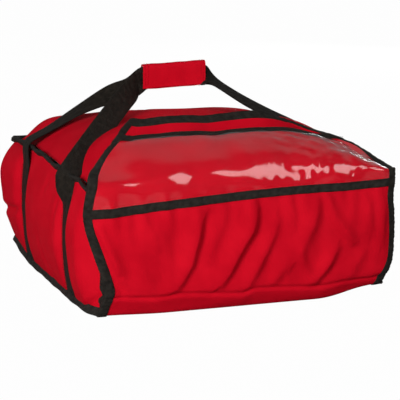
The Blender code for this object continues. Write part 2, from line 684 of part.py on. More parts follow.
def main():
    clear_scene()
    finishes = {key: make_material(*finish) for key, finish in FINISHES.items()}
    build_top(finishes)
    build_bottom(finishes)
    build_wall(finishes)
    build_seam_bindings(finishes)
    build_mouth_binding(finishes)
    build_sewn_straps(finishes)
    front_fold = add_pivot("front_fold_pivot", Vector((0, FRONT, FRONT_FOLD_HEIGHT)))
    build_flap_front(finishes, front_fold)
    top_fold = add_pivot("top_fold_pivot", Vector((0, FRONT, FOLD_HEIGHT)))
    build_flap_top(finishes, top_fold)
    swing = add_pivot("handle_pivot", Vector((0, 0, SEAM_HEIGHT)))
    offset = (WEBBING_THICKNESS + GAP) / 2
    build_handle("front_handle", -STRAP_Y, -offset, FRONT_TWIST_SHARES, finishes, swing)
    build_handle("back_handle", STRAP_Y, offset, BACK_TWIST_SHARES, finishes, swing)
    leaf_fold = grip_centre() + Vector((0, -GRIP_FAR, GRIP_BRIM - GAP - GRIP_CLOTH))
    build_grip(finishes, swing, add_pivot("leaf_pivot", leaf_fold))


main()
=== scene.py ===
"""The looks of the pizza delivery bag: sewn nylon, bound edges, webbing, a clear pocket and a foil lining.

Metres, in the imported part's frame; tables of places, heights and waves are in millimetres. Each panel of
the bag is a surface given by a formula, with its swell, its folds and its puckers. The layers of cloth, foam
and foil, the tapes and the stitches are laid on it.
"""

import math

import bpy
import numpy as np
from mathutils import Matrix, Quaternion, Vector


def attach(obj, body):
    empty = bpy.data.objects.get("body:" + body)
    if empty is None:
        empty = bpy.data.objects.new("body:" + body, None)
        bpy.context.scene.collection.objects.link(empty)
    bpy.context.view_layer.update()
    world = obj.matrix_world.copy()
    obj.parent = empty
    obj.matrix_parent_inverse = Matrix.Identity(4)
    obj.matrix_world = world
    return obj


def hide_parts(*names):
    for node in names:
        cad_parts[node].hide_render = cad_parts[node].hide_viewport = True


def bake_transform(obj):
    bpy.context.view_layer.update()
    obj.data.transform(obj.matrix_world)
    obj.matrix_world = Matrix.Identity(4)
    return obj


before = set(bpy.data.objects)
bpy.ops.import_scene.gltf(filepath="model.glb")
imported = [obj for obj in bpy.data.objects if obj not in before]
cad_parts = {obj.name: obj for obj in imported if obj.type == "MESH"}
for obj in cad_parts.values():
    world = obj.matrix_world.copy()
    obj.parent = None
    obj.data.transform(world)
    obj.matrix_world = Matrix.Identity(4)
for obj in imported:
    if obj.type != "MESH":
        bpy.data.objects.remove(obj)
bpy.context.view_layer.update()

MM = 0.001

# The size of the part, as its solids have it.
HALF_WIDTH = 0.254
HALF_DEPTH = 0.254
SEAM_HEIGHT = 0.203
TOP_CROWN = 0.067
FRONT_CROWN = 0.018
FRONT_CROWN_Y = -0.088
FRONT_CROWN_WIDTH = 0.052
PANEL_HALF = 0.2445
PANEL_BACK = 0.2450
MOUTH = -0.2371
CROWN_POWER_X = 4
CROWN_POWER_Y = 5
STRAP_Y = 0.127
WEBBING_WIDTH = 0.038
WEBBING_THICKNESS = 0.002
BINDING_WIDTH = 0.015
END_BINDING_WIDTH = 0.0175

# Thicknesses of the layers.
CLOTH = 0.0008
WALL = 0.0100
FOIL = 0.0005
LAYER_GAP = 0.0002
LEAST_FOAM = 0.0008

# The camera, fitted to the photograph.
CAMERA_AZIMUTH = math.radians(-20.67)
CAMERA_ELEVATION = math.radians(12.56)
CAMERA_DISTANCE = 2.974
CAMERA_TARGET = Vector((0.0, 0.0, 0.109))
CAMERA_ROLL = math.radians(0.74)
CAMERA_LENS = 153.5
CAMERA_SHIFT = (0.01925, 0.0245)

# How high the top seam bows between the mouth and the back, as (y, rise).
SEAM_BOW = ((-250, -4), (-204, -2), (-166, 4), (-127, 3), (-35, 3), (50, 7), (143, 8), (211, 4), (250, 1))
# The top panel's back left corner, which is fuller than the others.
BACK_LEFT = (-0.215, 0.210)
BACK_LEFT_WIDTH = 0.060
BACK_LEFT_RISE = 0.026
# How far each corner of the bottom lifts off the floor.
FRONT_LEFT_LIFT = 0.004
FRONT_RIGHT_LIFT = 0.018
BACK_LEFT_LIFT = 0.018
BACK_RIGHT_LIFT = 0.014

# The flap's cut: its side edges as (height or depth, x), down the front and over the top.
FLAP_PATH_START = -0.226
FLAP_FRONT_Y = -0.2565
FLAP_CORNER_HEIGHT = 0.2169
FLAP_END_Y = -0.118
FLAP_LEFT_LOW = (
    (0, -249), (11, -249), (30, -244), (48, -239), (76, -245), (104, -254), (130, -261), (158, -269),
    (187, -273), (217, -267),
)
FLAP_RIGHT_LOW = (
    (0, 246), (23, 252), (62, 265), (104, 266), (139, 263), (158, 258), (181, 262), (217, 262),
)
FLAP_LEFT_HIGH = (
    (-256.5, -267), (-235, -261), (-215, -251), (-200, -238), (-185, -224), (-170, -205), (-150, -188),
    (-130, -172), (-118, -155),
)
FLAP_RIGHT_HIGH = (
    (-256.5, 262), (-235, 262), (-215, 261), (-200, 252), (-190, 244), (-172, 221), (-158, 200),
    (-145, 174), (-136, 152), (-124, 128), (-118, 118),
)
# How far the padded flap stands off the top panel at its side edges, as (depth, rise).
FLAP_LEFT_RISE = (
    (-256.5, 2), (-235, 5), (-215, 9), (-200, 8.5), (-170, 8.5), (-150, 9.5), (-130, 7.5), (-118, 6),
)
FLAP_RIGHT_RISE = ((-256.5, 0), (-235, -1), (-215, -2), (-145, -2), (-118, -5))
# How far the padded flap stands off the panel where it turns over the front edge, as (depth, rise).
FLAP_FRONT_RISE = (
    (-256.5, 0), (-250, 9), (-245, 14.5), (-240, 19.5), (-235, 20.5), (-225, 14), (-215, 8.7), (-205, 5),
    (-195, 3), (-175, 0),
)
# How far the flap's end stands up from the panel, and where the strap under it lifts it.
FLAP_END_TILT = 0.009
FLAP_END_REACH = 0.035
FLAP_HUMP_X = 0.080
FLAP_HUMP_RISE = 0.004
FLAP_HUMP_WIDTH = 0.050
FLAP_ROWS = 190
# How far the side edges stand up from the cloth beside them, as (depth, rise): their bindings lie level.
LEFT_EDGE_LIFT = ((-256.5, 0), (-248, 5.5), (-238, 10.5), (-200, 12), (-140, 10.5), (-118, 5))
RIGHT_EDGE_LIFT = (
    (-256.5, 0), (-235, 2), (-215, 5), (-200, 10.5), (-190, 14.8), (-172, 12), (-158, 9.2), (-145, 4.5),
    (-118, 0),
)
# Where the level strip, the puffed band and the right side's calmer part begin, as shares of the way from the
# middle to the side edge.
LEVEL_SHARE = 0.82
BESIDE_SHARE = 0.3
RIGHT_SHARE = 0.68
# How much less the flap's end tilts at the right.
RIGHT_TILT_SHARE = 0.6
# How high the flap lies over the top panel, and how much higher before its thin end.
FLAP_REST = 0.0078
FLAP_FULLER = 0.0067
FLAP_THIN_FROM = (-0.070, 0.040)
FLAP_HUMP_FROM = (-0.19, 0.09)
# How much of the outer cloth's folds the lining follows.
FOIL_SHARE = 0.5
FLAP_COLUMNS = 241
FLAP_COLUMN_TURN = 1.2

# The slanting line of the pocket's lower tape, as (x, height of its middle).
TAPE_LINE = ((-262, 171), (-169, 179), (-86, 185), (0, 190), (86, 193), (175, 193), (262, 196))
POCKET_TAPE_WIDTH = 0.014
# How far the pocket reaches over the top, and its narrow upper tape.
POCKET_REACH = 0.0965
POCKET_EDGE_WIDTH = 0.011


def smoothstep(share):
    share = np.clip(share, 0.0, 1.0)
    return share * share * (3 - 2 * share)


def ramp(value, start, length):
    """Rises softly from 0 to 1 over a length after a start. Pairs named ..._FROM are (start, length)."""
    return smoothstep((value - start) / length)


def to_edge(share, start):
    """Rises softly from 0 at a share to 1 at the edge."""
    return ramp(share, start, 1 - start)


def bell(distance, width):
    return np.exp(-((distance / width) ** 2))


def table_at(table, value):
    """Reads a table of pairs at any value between them."""
    known = np.array(table) * MM
    return np.interp(value, known[:, 0], known[:, 1])


# Soft random waves in each cloth: height, seed, longest wave, shortest wave, and how far b draws them out.
WAVES = {
    "top": (2.2, 3, 300, 70, 1.0),
    "wall": (1.6, 5, 200, 50, 1.0),
    "gathers": (3.0, 11, 60, 17, 4.5),
    "front": (1.6, 12, 250, 60, 1.0),
    "over the top": (2.0, 13, 160, 45, 1.0),
    "upper gathers": (1.0, 14, 45, 18, 7.0),
    "vinyl": (0.9, 21, 120, 40, 1.0),
    "vinyl at right": (1.3, 22, 45, 14, 1.0),
    "wrap": (0.5, 31, 50, 20, 1.0),
}
WAVE_COUNT = 14


def waves(kind, a, b):
    """Soft random waves of one kind, at places (a, b)."""
    height, seed, longest, shortest, stretch = WAVES[kind]
    random = np.random.default_rng(seed)
    total = np.zeros(np.broadcast(a, b).shape)
    weight = 0.0
    for step in range(WAVE_COUNT):
        size = (shortest / longest) ** (step / (WAVE_COUNT - 1))
        turn = random.uniform(0, math.pi)
        phase = random.uniform(0, 2 * math.pi)
        along = a * math.cos(turn) + b * math.sin(turn) / stretch
        total = total + size * np.sin(along * 2 * math.pi / (longest * MM * size) + phase)
        weight += size * size
    return height * MM * total / math.sqrt(2 * weight)


# The share of a fold's length that fades out at each end, and the trough along it: wider and shallower.
FOLD_END_SHARE = 0.06
TROUGH_WIDTH_SHARE = 2.3
TROUGH_DEPTH_SHARE = 0.35
FAR_AWAY = 1e9


def fold_field(a, b, folds):
    """Adds up folds, each (points, height, width): a ridge, or a valley where the height is below zero.

    A fourth value is the width on the fold's other side, to the right of a line that runs downwards.
    """
    total = np.zeros(np.broadcast(a, b).shape)
    for points, height, *widths in folds:
        known = np.array(points) * MM
        steps = np.diff(known, axis=0)
        lengths = np.hypot(*steps.T)
        nearest = np.full(total.shape, FAR_AWAY)
        share = np.zeros(total.shape)
        width = np.full(total.shape, widths[0] * MM)
        start = 0.0
        for (x, y), (dx, dy), length in zip(known, steps, lengths):
            along = np.clip(((a - x) * dx + (b - y) * dy) / length**2, 0.0, 1.0)
            away = np.hypot(a - x - along * dx, b - y - along * dy)
            side = np.where(dx * (b - y) - dy * (a - x) > 0, widths[-1], widths[0]) * MM
            closer = away < nearest
            width = np.where(closer, side, width)
            nearest = np.where(closer, away, nearest)
            share = np.where(closer, (start + along * length) / lengths.sum(), share)
            start += length
        fade = np.sin(math.pi * (FOLD_END_SHARE + (1 - 2 * FOLD_END_SHARE) * share))
        ridge = bell(nearest, width) - TROUGH_DEPTH_SHARE * bell(nearest, TROUGH_WIDTH_SHARE * width)
        total = total + height * MM * np.sqrt(np.clip(fade, 0, 1)) * ridge
    return total


def crown(x, y):
    """Height of the top panel over its seam."""
    across = np.clip(np.abs(x) / PANEL_HALF, 0, 1)
    middle, half = (PANEL_BACK + MOUTH) / 2, (PANEL_BACK - MOUTH) / 2
    along = np.clip(np.abs(y - middle) / half, 0, 1)
    fuller = FRONT_CROWN * bell(y - FRONT_CROWN_Y, FRONT_CROWN_WIDTH)
    return (TOP_CROWN + fuller) * (1 - across**CROWN_POWER_X) * (1 - along**CROWN_POWER_Y)


# How late the top's forms fade out towards its edges: the higher the power, the later.
FOLD_POWER_X = 6
FOLD_POWER_Y = 8
BOW_POWER = 5
CORNER_POWER = 14


def top_height(x, y, detail=1.0):
    """Height of the top panel, with a share of its folds and waves."""
    across = np.clip(np.abs(x) / PANEL_HALF, 0, 1)
    along = np.clip(np.abs(y) / PANEL_BACK, 0, 1)
    bow = table_at(SEAM_BOW, y) * across**BOW_POWER
    corner = BACK_LEFT_RISE * bell(np.hypot(x - BACK_LEFT[0], y - BACK_LEFT[1]), BACK_LEFT_WIDTH)
    corner = corner * (1 - across**CORNER_POWER) * (1 - along**CORNER_POWER)
    inside = (1 - across**FOLD_POWER_X) * (1 - along**FOLD_POWER_Y)
    folds = (waves("top", x, y) + fold_field(x, y, TOP_FOLDS)) * inside
    return SEAM_HEIGHT + crown(x, y) + bow + corner + detail * folds


# The share of the way from the middle to the edge where the bottom's corners begin to lift.
LIFT_SHARE = 0.5


def bottom_lift(x, y):
    """How far the bottom rises off the floor towards its corners."""
    across = to_edge(np.abs(x) / HALF_WIDTH, LIFT_SHARE)
    along = to_edge(np.abs(y) / HALF_DEPTH, LIFT_SHARE)
    left = np.where(y < 0, FRONT_LEFT_LIFT, BACK_LEFT_LIFT)
    right = np.where(y < 0, FRONT_RIGHT_LIFT, BACK_RIGHT_LIFT)
    return np.where(x < 0, left, right) * across * along


# Folds of the top, the ends, the back and the front, as fold_field reads them.
TOP_FOLDS = (
    (((-220, 100), (-120, 140), (0, 150)), -3, 16),
    (((-200, -20), (-130, 20), (-50, 50)), -2.5, 14),
    (((20, 200), (120, 170), (200, 120)), -3, 15),
    (((210, 20), (130, 50), (60, 40)), -2.5, 14),
    (((-100, 220), (-60, 170), (-50, 110)), -2.5, 12),
)
END_FOLDS_LEFT = (
    (((-204, 9), (-220, 19), (-238, 32), (-252, 44)), -8.5, 5),
    (((252, 80), (222, 85), (176, 91), (140, 98)), -10, 8),
    (((-98, 190), (-88, 160), (-82, 120)), -3, 8),
    (((100, 180), (94, 120), (102, 50)), -2, 10),
    (((-20, 185), (-10, 160)), -2, 8),
    (((-30, 20), (0, 50), (10, 90)), -2, 14),
)
END_FOLDS_RIGHT = (
    (((-180, 10), (-215, 34), (-235, 60)), -5, 8),
    (((240, 120), (190, 110), (150, 116)), -4.5, 10),
    (((95, 188), (85, 150), (88, 110)), -3, 8),
    (((-98, 150), (-90, 100), (-96, 50)), -2.5, 10),
    (((20, 20), (0, 60), (-20, 80)), -2, 14),
)
BACK_FOLDS = (
    (((-190, 20), (-150, 60), (-140, 110)), -4, 13),
    (((190, 20), (160, 50), (130, 120)), -4, 13),
    (((-80, 190), (-60, 150), (-70, 100)), -3, 12),
    (((60, 190), (50, 160), (70, 110)), -3, 12),
    (((-30, 15), (0, 50), (10, 80)), -2.5, 14),
)
FRONT_FOLDS = (
    (((-78, 172), (-86, 150), (-90, 127), (-97, 104), (-102, 82), (-115, 58), (-125, 44)), 11.5, 24, 8.5),
    (((6, 188), (9, 168), (8, 152), (3, 133), (-11, 112), (-24, 90), (-37, 65), (-50, 47)), 12.5, 26, 8.5),
    (((46, 146), (40, 122), (28, 96), (13, 68), (-2, 40)), 7.5, 16, 8.5),
    (((118, 180), (113, 158), (107, 134), (94, 108), (82, 80)), 10, 24, 14),
    (((134, 182), (141, 162), (152, 138), (168, 118), (184, 100)), 8.5, 8, 12),
    (((154, 92), (143, 70), (127, 50), (112, 34)), 9, 14, 8.5),
    (((90, 88), (96, 64), (106, 47), (116, 34)), 5.5, 9, 10),
    (((-252, 150), (-240, 122), (-229, 98), (-219, 80)), 8.5, 6, 11),
    (((-240, 84), (-224, 60), (-206, 40)), -5.5, 8, 8),
    (((-179, 164), (-168, 138), (-160, 112)), 4.2, 15, 9),
    (((-150, 134), (-140, 106), (-134, 78)), 3.8, 14, 10),
    (((-44, 170), (-50, 144), (-62, 118), (-72, 90)), 4, 15, 11),
    (((70, 176), (76, 152), (74, 130)), 3.8, 13, 8),
    (((208, 168), (212, 140), (214, 110)), 4.8, 16, 10),
    (((240, 160), (238, 130), (236, 90)), 4, 12, 8),
    (((-182, 80), (-172, 60), (-168, 42)), 3.4, 14, 10),
    (((62, 70), (50, 52), (40, 40)), 3.8, 12, 9),
    (((206, 84), (194, 64), (186, 46)), 3.6, 14, 10),
)
# The crease across the front above the flap's foot, as (x, height).
BOTTOM_LINE = (
    (-250, 36), (-217, 36), (-151, 31), (-117, 34), (-62, 31), (-7, 28), (10, 34), (63, 31), (128, 27),
    (171, 30), (222, 31), (250, 36),
)
BOTTOM_LINE_DEPTH = 0.0026
BOTTOM_LINE_WIDTH = 0.0035
# How far the flap's face draws back under that line, and over what height.
TURN_UNDER = 0.009
TURN_UNDER_HEIGHT = 0.030
# How far below the pocket's tape the gathers reach, and how much of them stays further down.
GATHER_REACH = 0.034
GATHER_REST_SHARE = 0.22
# Where each form on the flap sets in: forward, upward, downward or to the right.
FRONT_FROM = (0.225, 0.02)
FLOOR_FROM = (0.0, 0.02)
TOP_FOLD_FROM = (-0.205, 0.03)
GATHERS_FROM = (0.02, 0.03)
FOLDS_FROM = (-0.004, 0.014)
UPPER_RIGHT_FROM = (-0.03, 0.10)
UPPER_HEIGHT_FROM = (0.185, 0.012)
UPPER_FRONT_FROM = (0.222, 0.025)
OVER_FROM = (0.2, 0.02)
CALM_EDGE_POWER = 14


def grid_normals(points):
    """Unit normals of a grid of points, rows by columns."""
    return unit(np.cross(np.gradient(points, axis=1), np.gradient(points, axis=0)))


def grid_lengths(points):
    """How far each point of a grid lies down its column and along its row."""
    down = np.cumsum(np.linalg.norm(np.diff(points, axis=0), axis=2), axis=0)
    across = np.cumsum(np.linalg.norm(np.diff(points, axis=1), axis=2), axis=1)
    return np.pad(down, ((1, 0), (0, 0))), np.pad(across, ((0, 0), (1, 0)))


def line_lengths(points):
    """How far each point of a line lies along it."""
    return np.concatenate([[0], np.cumsum(np.linalg.norm(np.diff(points, axis=0), axis=1))])


def line_at(points, lengths, value):
    """Points of a line at distances along it."""
    return np.stack([np.interp(value, lengths, column) for column in points.T], axis=1)


TINY = 1e-12


def unit(vectors):
    return vectors / np.maximum(np.linalg.norm(vectors, axis=-1, keepdims=True), TINY)


class Skin:
    """A grid of points with outward normals, on which layers, tapes and stitches are laid."""

    def __init__(self, points, outward):
        self.points = points
        self.normals = grid_normals(points)
        middle = (points.shape[0] // 2, points.shape[1] // 2)
        if np.dot(self.normals[middle], outward) < 0:
            self.normals = -self.normals
        self.down, self.across = grid_lengths(points)

    def read(self, grid, row, column):
        """A grid's values between its points."""
        rows, columns = grid.shape[:2]
        row, column = np.clip(row, 0, rows - 1), np.clip(column, 0, columns - 1)
        r = np.minimum(row.astype(int), rows - 2)
        c = np.minimum(column.astype(int), columns - 2)
        fr, fc = row - r, column - c
        if grid.ndim == 3:
            fr, fc = fr[..., None], fc[..., None]
        upper = grid[r, c] * (1 - fc) + grid[r, c + 1] * fc
        lower = grid[r + 1, c] * (1 - fc) + grid[r + 1, c + 1] * fc
        return upper * (1 - fr) + lower * fr

    def at(self, row, column, lift=0.0):
        """Points at a lift over the grid, and their normals."""
        row, column = np.broadcast_arrays(np.asarray(row, float), np.asarray(column, float))
        normal = unit(self.read(self.normals, row, column))
        return self.read(self.points, row, column) + normal * np.asarray(lift)[..., None], normal


SHARP_ANGLE = math.radians(50)


def add_object(name, data):
    obj = bpy.data.objects.new(name, data)
    bpy.context.scene.collection.objects.link(obj)
    return obj


def mesh_object(name, verts, faces, material, uvs):
    """An object from vertices and faces, its UV map in metres along the cloth."""
    mesh = bpy.data.meshes.new(name)
    mesh.from_pydata([tuple(v) for v in verts], [], [tuple(f) for f in faces])
    layer = mesh.uv_layers.new(name="cloth")
    loops = np.zeros(len(mesh.loops), int)
    mesh.loops.foreach_get("vertex_index", loops)
    layer.data.foreach_set("uv", np.asarray(uvs, float)[loops].ravel())
    mesh.materials.append(material)
    mesh.shade_smooth()
    mesh.set_sharp_from_angle(angle=SHARP_ANGLE)
    mesh.update()
    return add_object(name, mesh)


def sheet_faces(rows, columns):
    """Faces of a closed sheet: an outer grid, an inner grid after it, and the rim between them."""
    index = np.arange(rows * columns).reshape(rows, columns)
    quads = np.stack([index[:-1, :-1], index[:-1, 1:], index[1:, 1:], index[1:, :-1]], axis=-1)
    quads = quads.reshape(-1, 4)
    inner = quads[:, ::-1] + rows * columns
    rim = np.concatenate([index[0, :], index[1:, -1], index[-1, -2::-1], index[-2:0:-1, 0]])
    following = np.roll(rim, -1)
    step = rows * columns
    sides = np.stack([following, rim, rim + step, following + step], axis=-1)
    return np.concatenate([quads, inner, sides])


def declare_sheet(piece):
    """Reads a sheet's UV map and the areas of its faces, and does nothing more with them."""
    data = piece.data
    uvs = np.zeros(2 * len(data.loops))
    data.uv_layers["cloth"].data.foreach_get("uv", uvs)
    areas = np.zeros(len(data.polygons))
    data.polygons.foreach_get("area", areas)


def sheet_object(name, outer, inner, material):
    """A closed sheet between two grids of points."""
    down, across = grid_lengths(outer)
    uvs = np.stack([across, down], axis=-1).reshape(-1, 2)
    verts = np.concatenate([outer.reshape(-1, 3), inner.reshape(-1, 3)])
    faces = sheet_faces(*outer.shape[:2])
    normal = np.cross(outer[0, 1] - outer[0, 0], outer[1, 0] - outer[0, 0])
    if np.dot(normal, outer[0, 0] - inner[0, 0]) < 0:
        faces = faces[:, ::-1]
    return mesh_object(name, verts, faces, material, np.concatenate([uvs, uvs]))


def layer(name, skin, lift, thickness, material, rows=None):
    """A closed sheet on a skin, from a lift down by a thickness, over some or all of its rows."""
    rows = rows or slice(None)
    shape = skin.points.shape[:2]
    lift = np.broadcast_to(np.asarray(lift, float), shape)[rows, :, None]
    thickness = np.broadcast_to(np.asarray(thickness, float), shape)[rows, :, None]
    outer = skin.points[rows] + skin.normals[rows] * lift
    return sheet_object(name, outer, outer - skin.normals[rows] * thickness, material)


def filling(name, outer_skin, inner_skin, depth, material, rows, columns):
    """Foam between the cloth of one skin and the foil that lies a depth below another, calmer one."""
    depth = np.broadcast_to(np.asarray(depth, float), outer_skin.points.shape[:2])[..., None]
    outer = outer_skin.points - outer_skin.normals * (CLOTH + LAYER_GAP)
    inner = inner_skin.points - inner_skin.normals * (depth - FOIL - LAYER_GAP)
    left = np.sum((outer - inner) * inner_skin.normals, axis=2, keepdims=True)
    outer = outer + inner_skin.normals * np.maximum(LEAST_FOAM - left, 0.0)
    return sheet_object(name, outer[rows, columns], inner[rows, columns], material)


def tube(name, rings, material):
    """A closed bar through its rings of points, capped at both ends."""
    count, around = rings.shape[:2]
    index = np.arange(count * around).reshape(count, around)
    following = np.roll(index, -1, axis=1)
    quads = np.stack([index[:-1], following[:-1], following[1:], index[1:]], axis=-1).reshape(-1, 4)
    faces = [list(quad) for quad in quads] + [list(index[0][::-1]), list(index[-1])]
    flat = rings.reshape(-1, 3)
    a, b, c, d = (flat[quads[:, k]] for k in range(4))
    volume = np.sum(a * np.cross(b, c)) + np.sum(a * np.cross(c, d))
    if volume < 0:
        faces = [face[::-1] for face in faces]
    steps = np.linalg.norm(np.diff(rings, axis=0), axis=2).mean(axis=1)
    along = np.concatenate([[0], np.cumsum(steps)])
    girth = line_lengths(rings[count // 2])
    uvs = np.stack(np.broadcast_arrays(along[:, None], girth[None, :]), axis=-1).reshape(-1, 2)
    return mesh_object(name, flat, faces, material, uvs)


def sweep(name, centres, sides, ups, profile, material):
    """A closed bar along a line, its profile given as (side, up) pairs."""
    profile = np.asarray(profile, float)
    if profile.ndim == 2:
        profile = np.broadcast_to(profile, (len(centres),) + profile.shape)
    rings = centres[:, None] + sides[:, None] * profile[..., :1] + ups[:, None] * profile[..., 1:]
    return tube(name, rings, material)


STITCH_LENGTH = 0.0032
STITCH_PITCH = 0.0044
STITCH_RADIUS = 0.0004
# A stitch's three rings, as (place along it, size), and its sides and faces.
STITCH_RINGS = ((-0.5, 0.4), (0.0, 1.0), (0.5, 0.4))
STITCH_SIDES = ((1, 0), (0, 1), (-1, 0), (0, -1))
STITCH_FACES = [(r + k, r + k + 4, r + (k + 1) % 4 + 4, r + (k + 1) % 4) for r in (0, 4) for k in range(4)]
STITCH_FACES += [(0, 1, 2, 3), (11, 10, 9, 8)]


def stitches(name, lines, kind, **follow):
    """Rows of stitches in one piece: each line is its points and their normals."""
    verts, faces = [], []
    for points, normals in lines:
        length = line_lengths(points)
        even = np.arange(STITCH_PITCH / 2, length[-1], STITCH_PITCH)
        middle = line_at(points, length, even)
        up = unit(line_at(normals, length, even))
        along = unit(np.gradient(middle, axis=0))
        for centre, ahead, across, high in zip(middle, along, np.cross(along, up), up):
            faces += [tuple(len(verts) + k for k in face) for face in STITCH_FACES]
            for where, size in STITCH_RINGS:
                ring = centre + ahead * STITCH_LENGTH * where
                verts += [ring + (across * a + high * b) * STITCH_RADIUS * size for a, b in STITCH_SIDES]
    verts = np.array(verts)
    thread = mesh_object(name, verts, faces, MATERIALS[kind], verts[:, :2])
    return place(thread, kind, [], **follow)


# Materials.


def new_material(name, colour, roughness, specular=0.5, metallic=0.0, sheen=0.0):
    material = bpy.data.materials.new(name)
    material.use_nodes = True
    shader = material.node_tree.nodes["Principled BSDF"]
    shader.inputs["Base Color"].default_value = (*colour, 1.0)
    shader.inputs["Roughness"].default_value = roughness
    shader.inputs["Specular IOR Level"].default_value = specular
    shader.inputs["Metallic"].default_value = metallic
    shader.inputs["Sheen Weight"].default_value = sheen
    return material, material.node_tree, shader


def add_node(tree, kind, **values):
    node = tree.nodes.new("ShaderNode" + kind)
    for key, value in values.items():
        setattr(node, key, value)
    return node


def math_node(tree, operation, first, second=None):
    node = add_node(tree, "Math", operation=operation)
    for socket, value in zip(node.inputs, (first, second)):
        if value is None:
            continue
        if isinstance(value, (int, float)):
            socket.default_value = value
        else:
            tree.links.new(value, socket)
    return node.outputs[0]


def cloth_axes(tree):
    """The distances along and across the cloth, in metres, from its UV map."""
    uv = add_node(tree, "UVMap", uv_map="cloth")
    split = add_node(tree, "SeparateXYZ")
    tree.links.new(uv.outputs["UV"], split.inputs[0])
    return uv.outputs["UV"], split.outputs["X"], split.outputs["Y"]


def add_noise(tree, vector, scale, detail=3.0):
    node = add_node(tree, "TexNoise")
    node.inputs["Scale"].default_value = scale
    node.inputs["Detail"].default_value = detail
    tree.links.new(vector, node.inputs["Vector"])
    return node.outputs["Fac"]


def vary_colour(tree, shader, factor, dark, light):
    ramp = add_node(tree, "ValToRGB")
    ramp.color_ramp.elements[0].position = 0.3
    ramp.color_ramp.elements[0].color = (*dark, 1.0)
    ramp.color_ramp.elements[1].position = 0.7
    ramp.color_ramp.elements[1].color = (*light, 1.0)
    tree.links.new(factor, ramp.inputs["Fac"])
    tree.links.new(ramp.outputs["Color"], shader.inputs["Base Color"])


def add_bump(tree, shader, height, distance, strength=1.0):
    node = add_node(tree, "Bump")
    node.inputs["Distance"].default_value = distance
    node.inputs["Strength"].default_value = strength
    tree.links.new(height, node.inputs["Height"])
    tree.links.new(node.outputs["Normal"], shader.inputs["Normal"])
    return node


def weave(tree, along, across, pitch):
    """A plain weave's height: threads of one pitch that pass over and under each other."""
    turns = 2 * math.pi / pitch
    warp = math_node(tree, "SINE", math_node(tree, "MULTIPLY", along, turns))
    weft = math_node(tree, "SINE", math_node(tree, "MULTIPLY", across, turns))
    return math_node(tree, "MULTIPLY", warp, weft)


def mix_shaders(tree, factor, first, second):
    mix = add_node(tree, "MixShader")
    for socket, value in zip(mix.inputs, (factor, first, second)):
        tree.links.new(value, socket)
    return mix.outputs[0]


SHEEN_RED = (0.8, 0.005, 0.02)
RED_DARK = (0.50, 0.0028, 0.0125)
RED_LIGHT = (0.60, 0.0045, 0.0165)
WEAVE_PITCH = 0.0011
FUZZ_SHARE = 0.6
PILE = (0.02, 0.02, 0.02)
PILE_DARK = (0.012, 0.012, 0.012)
PILE_LIGHT = (0.035, 0.034, 0.032)
# How high a tape's fuzz and its dents are, against its ribs.
TAPE_FUZZ_SHARE = 0.8
DENT_SHARE = 14.0


def nylon(name, roughness):
    material, tree, shader = new_material(name, RED_LIGHT, roughness, specular=0.01, sheen=0.10)
    shader.inputs["Sheen Roughness"].default_value = 0.45
    shader.inputs["Sheen Tint"].default_value = (*SHEEN_RED, 1.0)
    vector, along, across = cloth_axes(tree)
    vary_colour(tree, shader, add_noise(tree, vector, scale=14.0), RED_DARK, RED_LIGHT)
    fuzz = math_node(tree, "MULTIPLY", add_noise(tree, vector, scale=900.0, detail=1.0), FUZZ_SHARE)
    height = math_node(tree, "ADD", weave(tree, along, across, WEAVE_PITCH), fuzz)
    add_bump(tree, shader, height, distance=0.00006)
    return material


def ribbed(name, dark, light, pitch, across_pitch, depth):
    """A tape or webbing: ribs across it, crossed by finer lines along it."""
    material, tree, shader = new_material(name, light, roughness=0.55, specular=0.09, sheen=0.01)
    vector, along, across = cloth_axes(tree)
    vary_colour(tree, shader, add_noise(tree, vector, scale=110.0), dark, light)
    lines = math_node(tree, "SINE", math_node(tree, "MULTIPLY", across, 2 * math.pi / across_pitch))
    shifted = math_node(tree, "ADD", math_node(tree, "MULTIPLY", along, 2 * math.pi / pitch), lines)
    ribs = math_node(tree, "SINE", shifted)
    fuzz = math_node(tree, "MULTIPLY", add_noise(tree, vector, scale=1500.0, detail=2.0), TAPE_FUZZ_SHARE)
    dents = math_node(tree, "MULTIPLY", add_noise(tree, vector, scale=90.0, detail=2.0), DENT_SHARE)
    height = math_node(tree, "ADD", math_node(tree, "ADD", ribs, fuzz), dents)
    add_bump(tree, shader, height, depth)
    return material


def mottled(name, colour, dark, light, shades, relief, depth, **finish):
    """A material with shades and relief from noise; shades and relief are given as (scale, detail)."""
    material, tree, shader = new_material(name, colour, **finish)
    vector = cloth_axes(tree)[0]
    vary_colour(tree, shader, add_noise(tree, vector, *shades), dark, light)
    add_bump(tree, shader, add_noise(tree, vector, *relief), depth)
    return material


def fuzzy(name, scale, depth):
    noise = (scale, 4.0)
    finish = {"roughness": 0.9, "specular": 0.08, "sheen": 0.04}
    return mottled(name, PILE, PILE_DARK, PILE_LIGHT, noise, noise, depth, **finish)


def vinyl_material():
    """Clear soft plastic. Light reaches the cloth under it straight through it, and only once."""
    colour = (1.0, 0.97, 0.97)
    material, tree, shader = new_material("clear_vinyl_sheet", colour, roughness=0.07, specular=0.5)
    shader.inputs["Transmission Weight"].default_value = 1.0
    shader.inputs["IOR"].default_value = 1.5
    height = add_noise(tree, cloth_axes(tree)[0], scale=25.0)
    add_bump(tree, shader, height, distance=0.0007, strength=0.6)
    clear = add_node(tree, "BsdfTransparent").outputs[0]
    path = add_node(tree, "LightPath")
    lit = mix_shaders(tree, path.outputs["Is Shadow Ray"], shader.outputs[0], clear)
    seen = mix_shaders(tree, path.outputs["Is Diffuse Ray"], lit, clear)
    tree.links.new(seen, tree.nodes["Material Output"].inputs["Surface"])
    return material


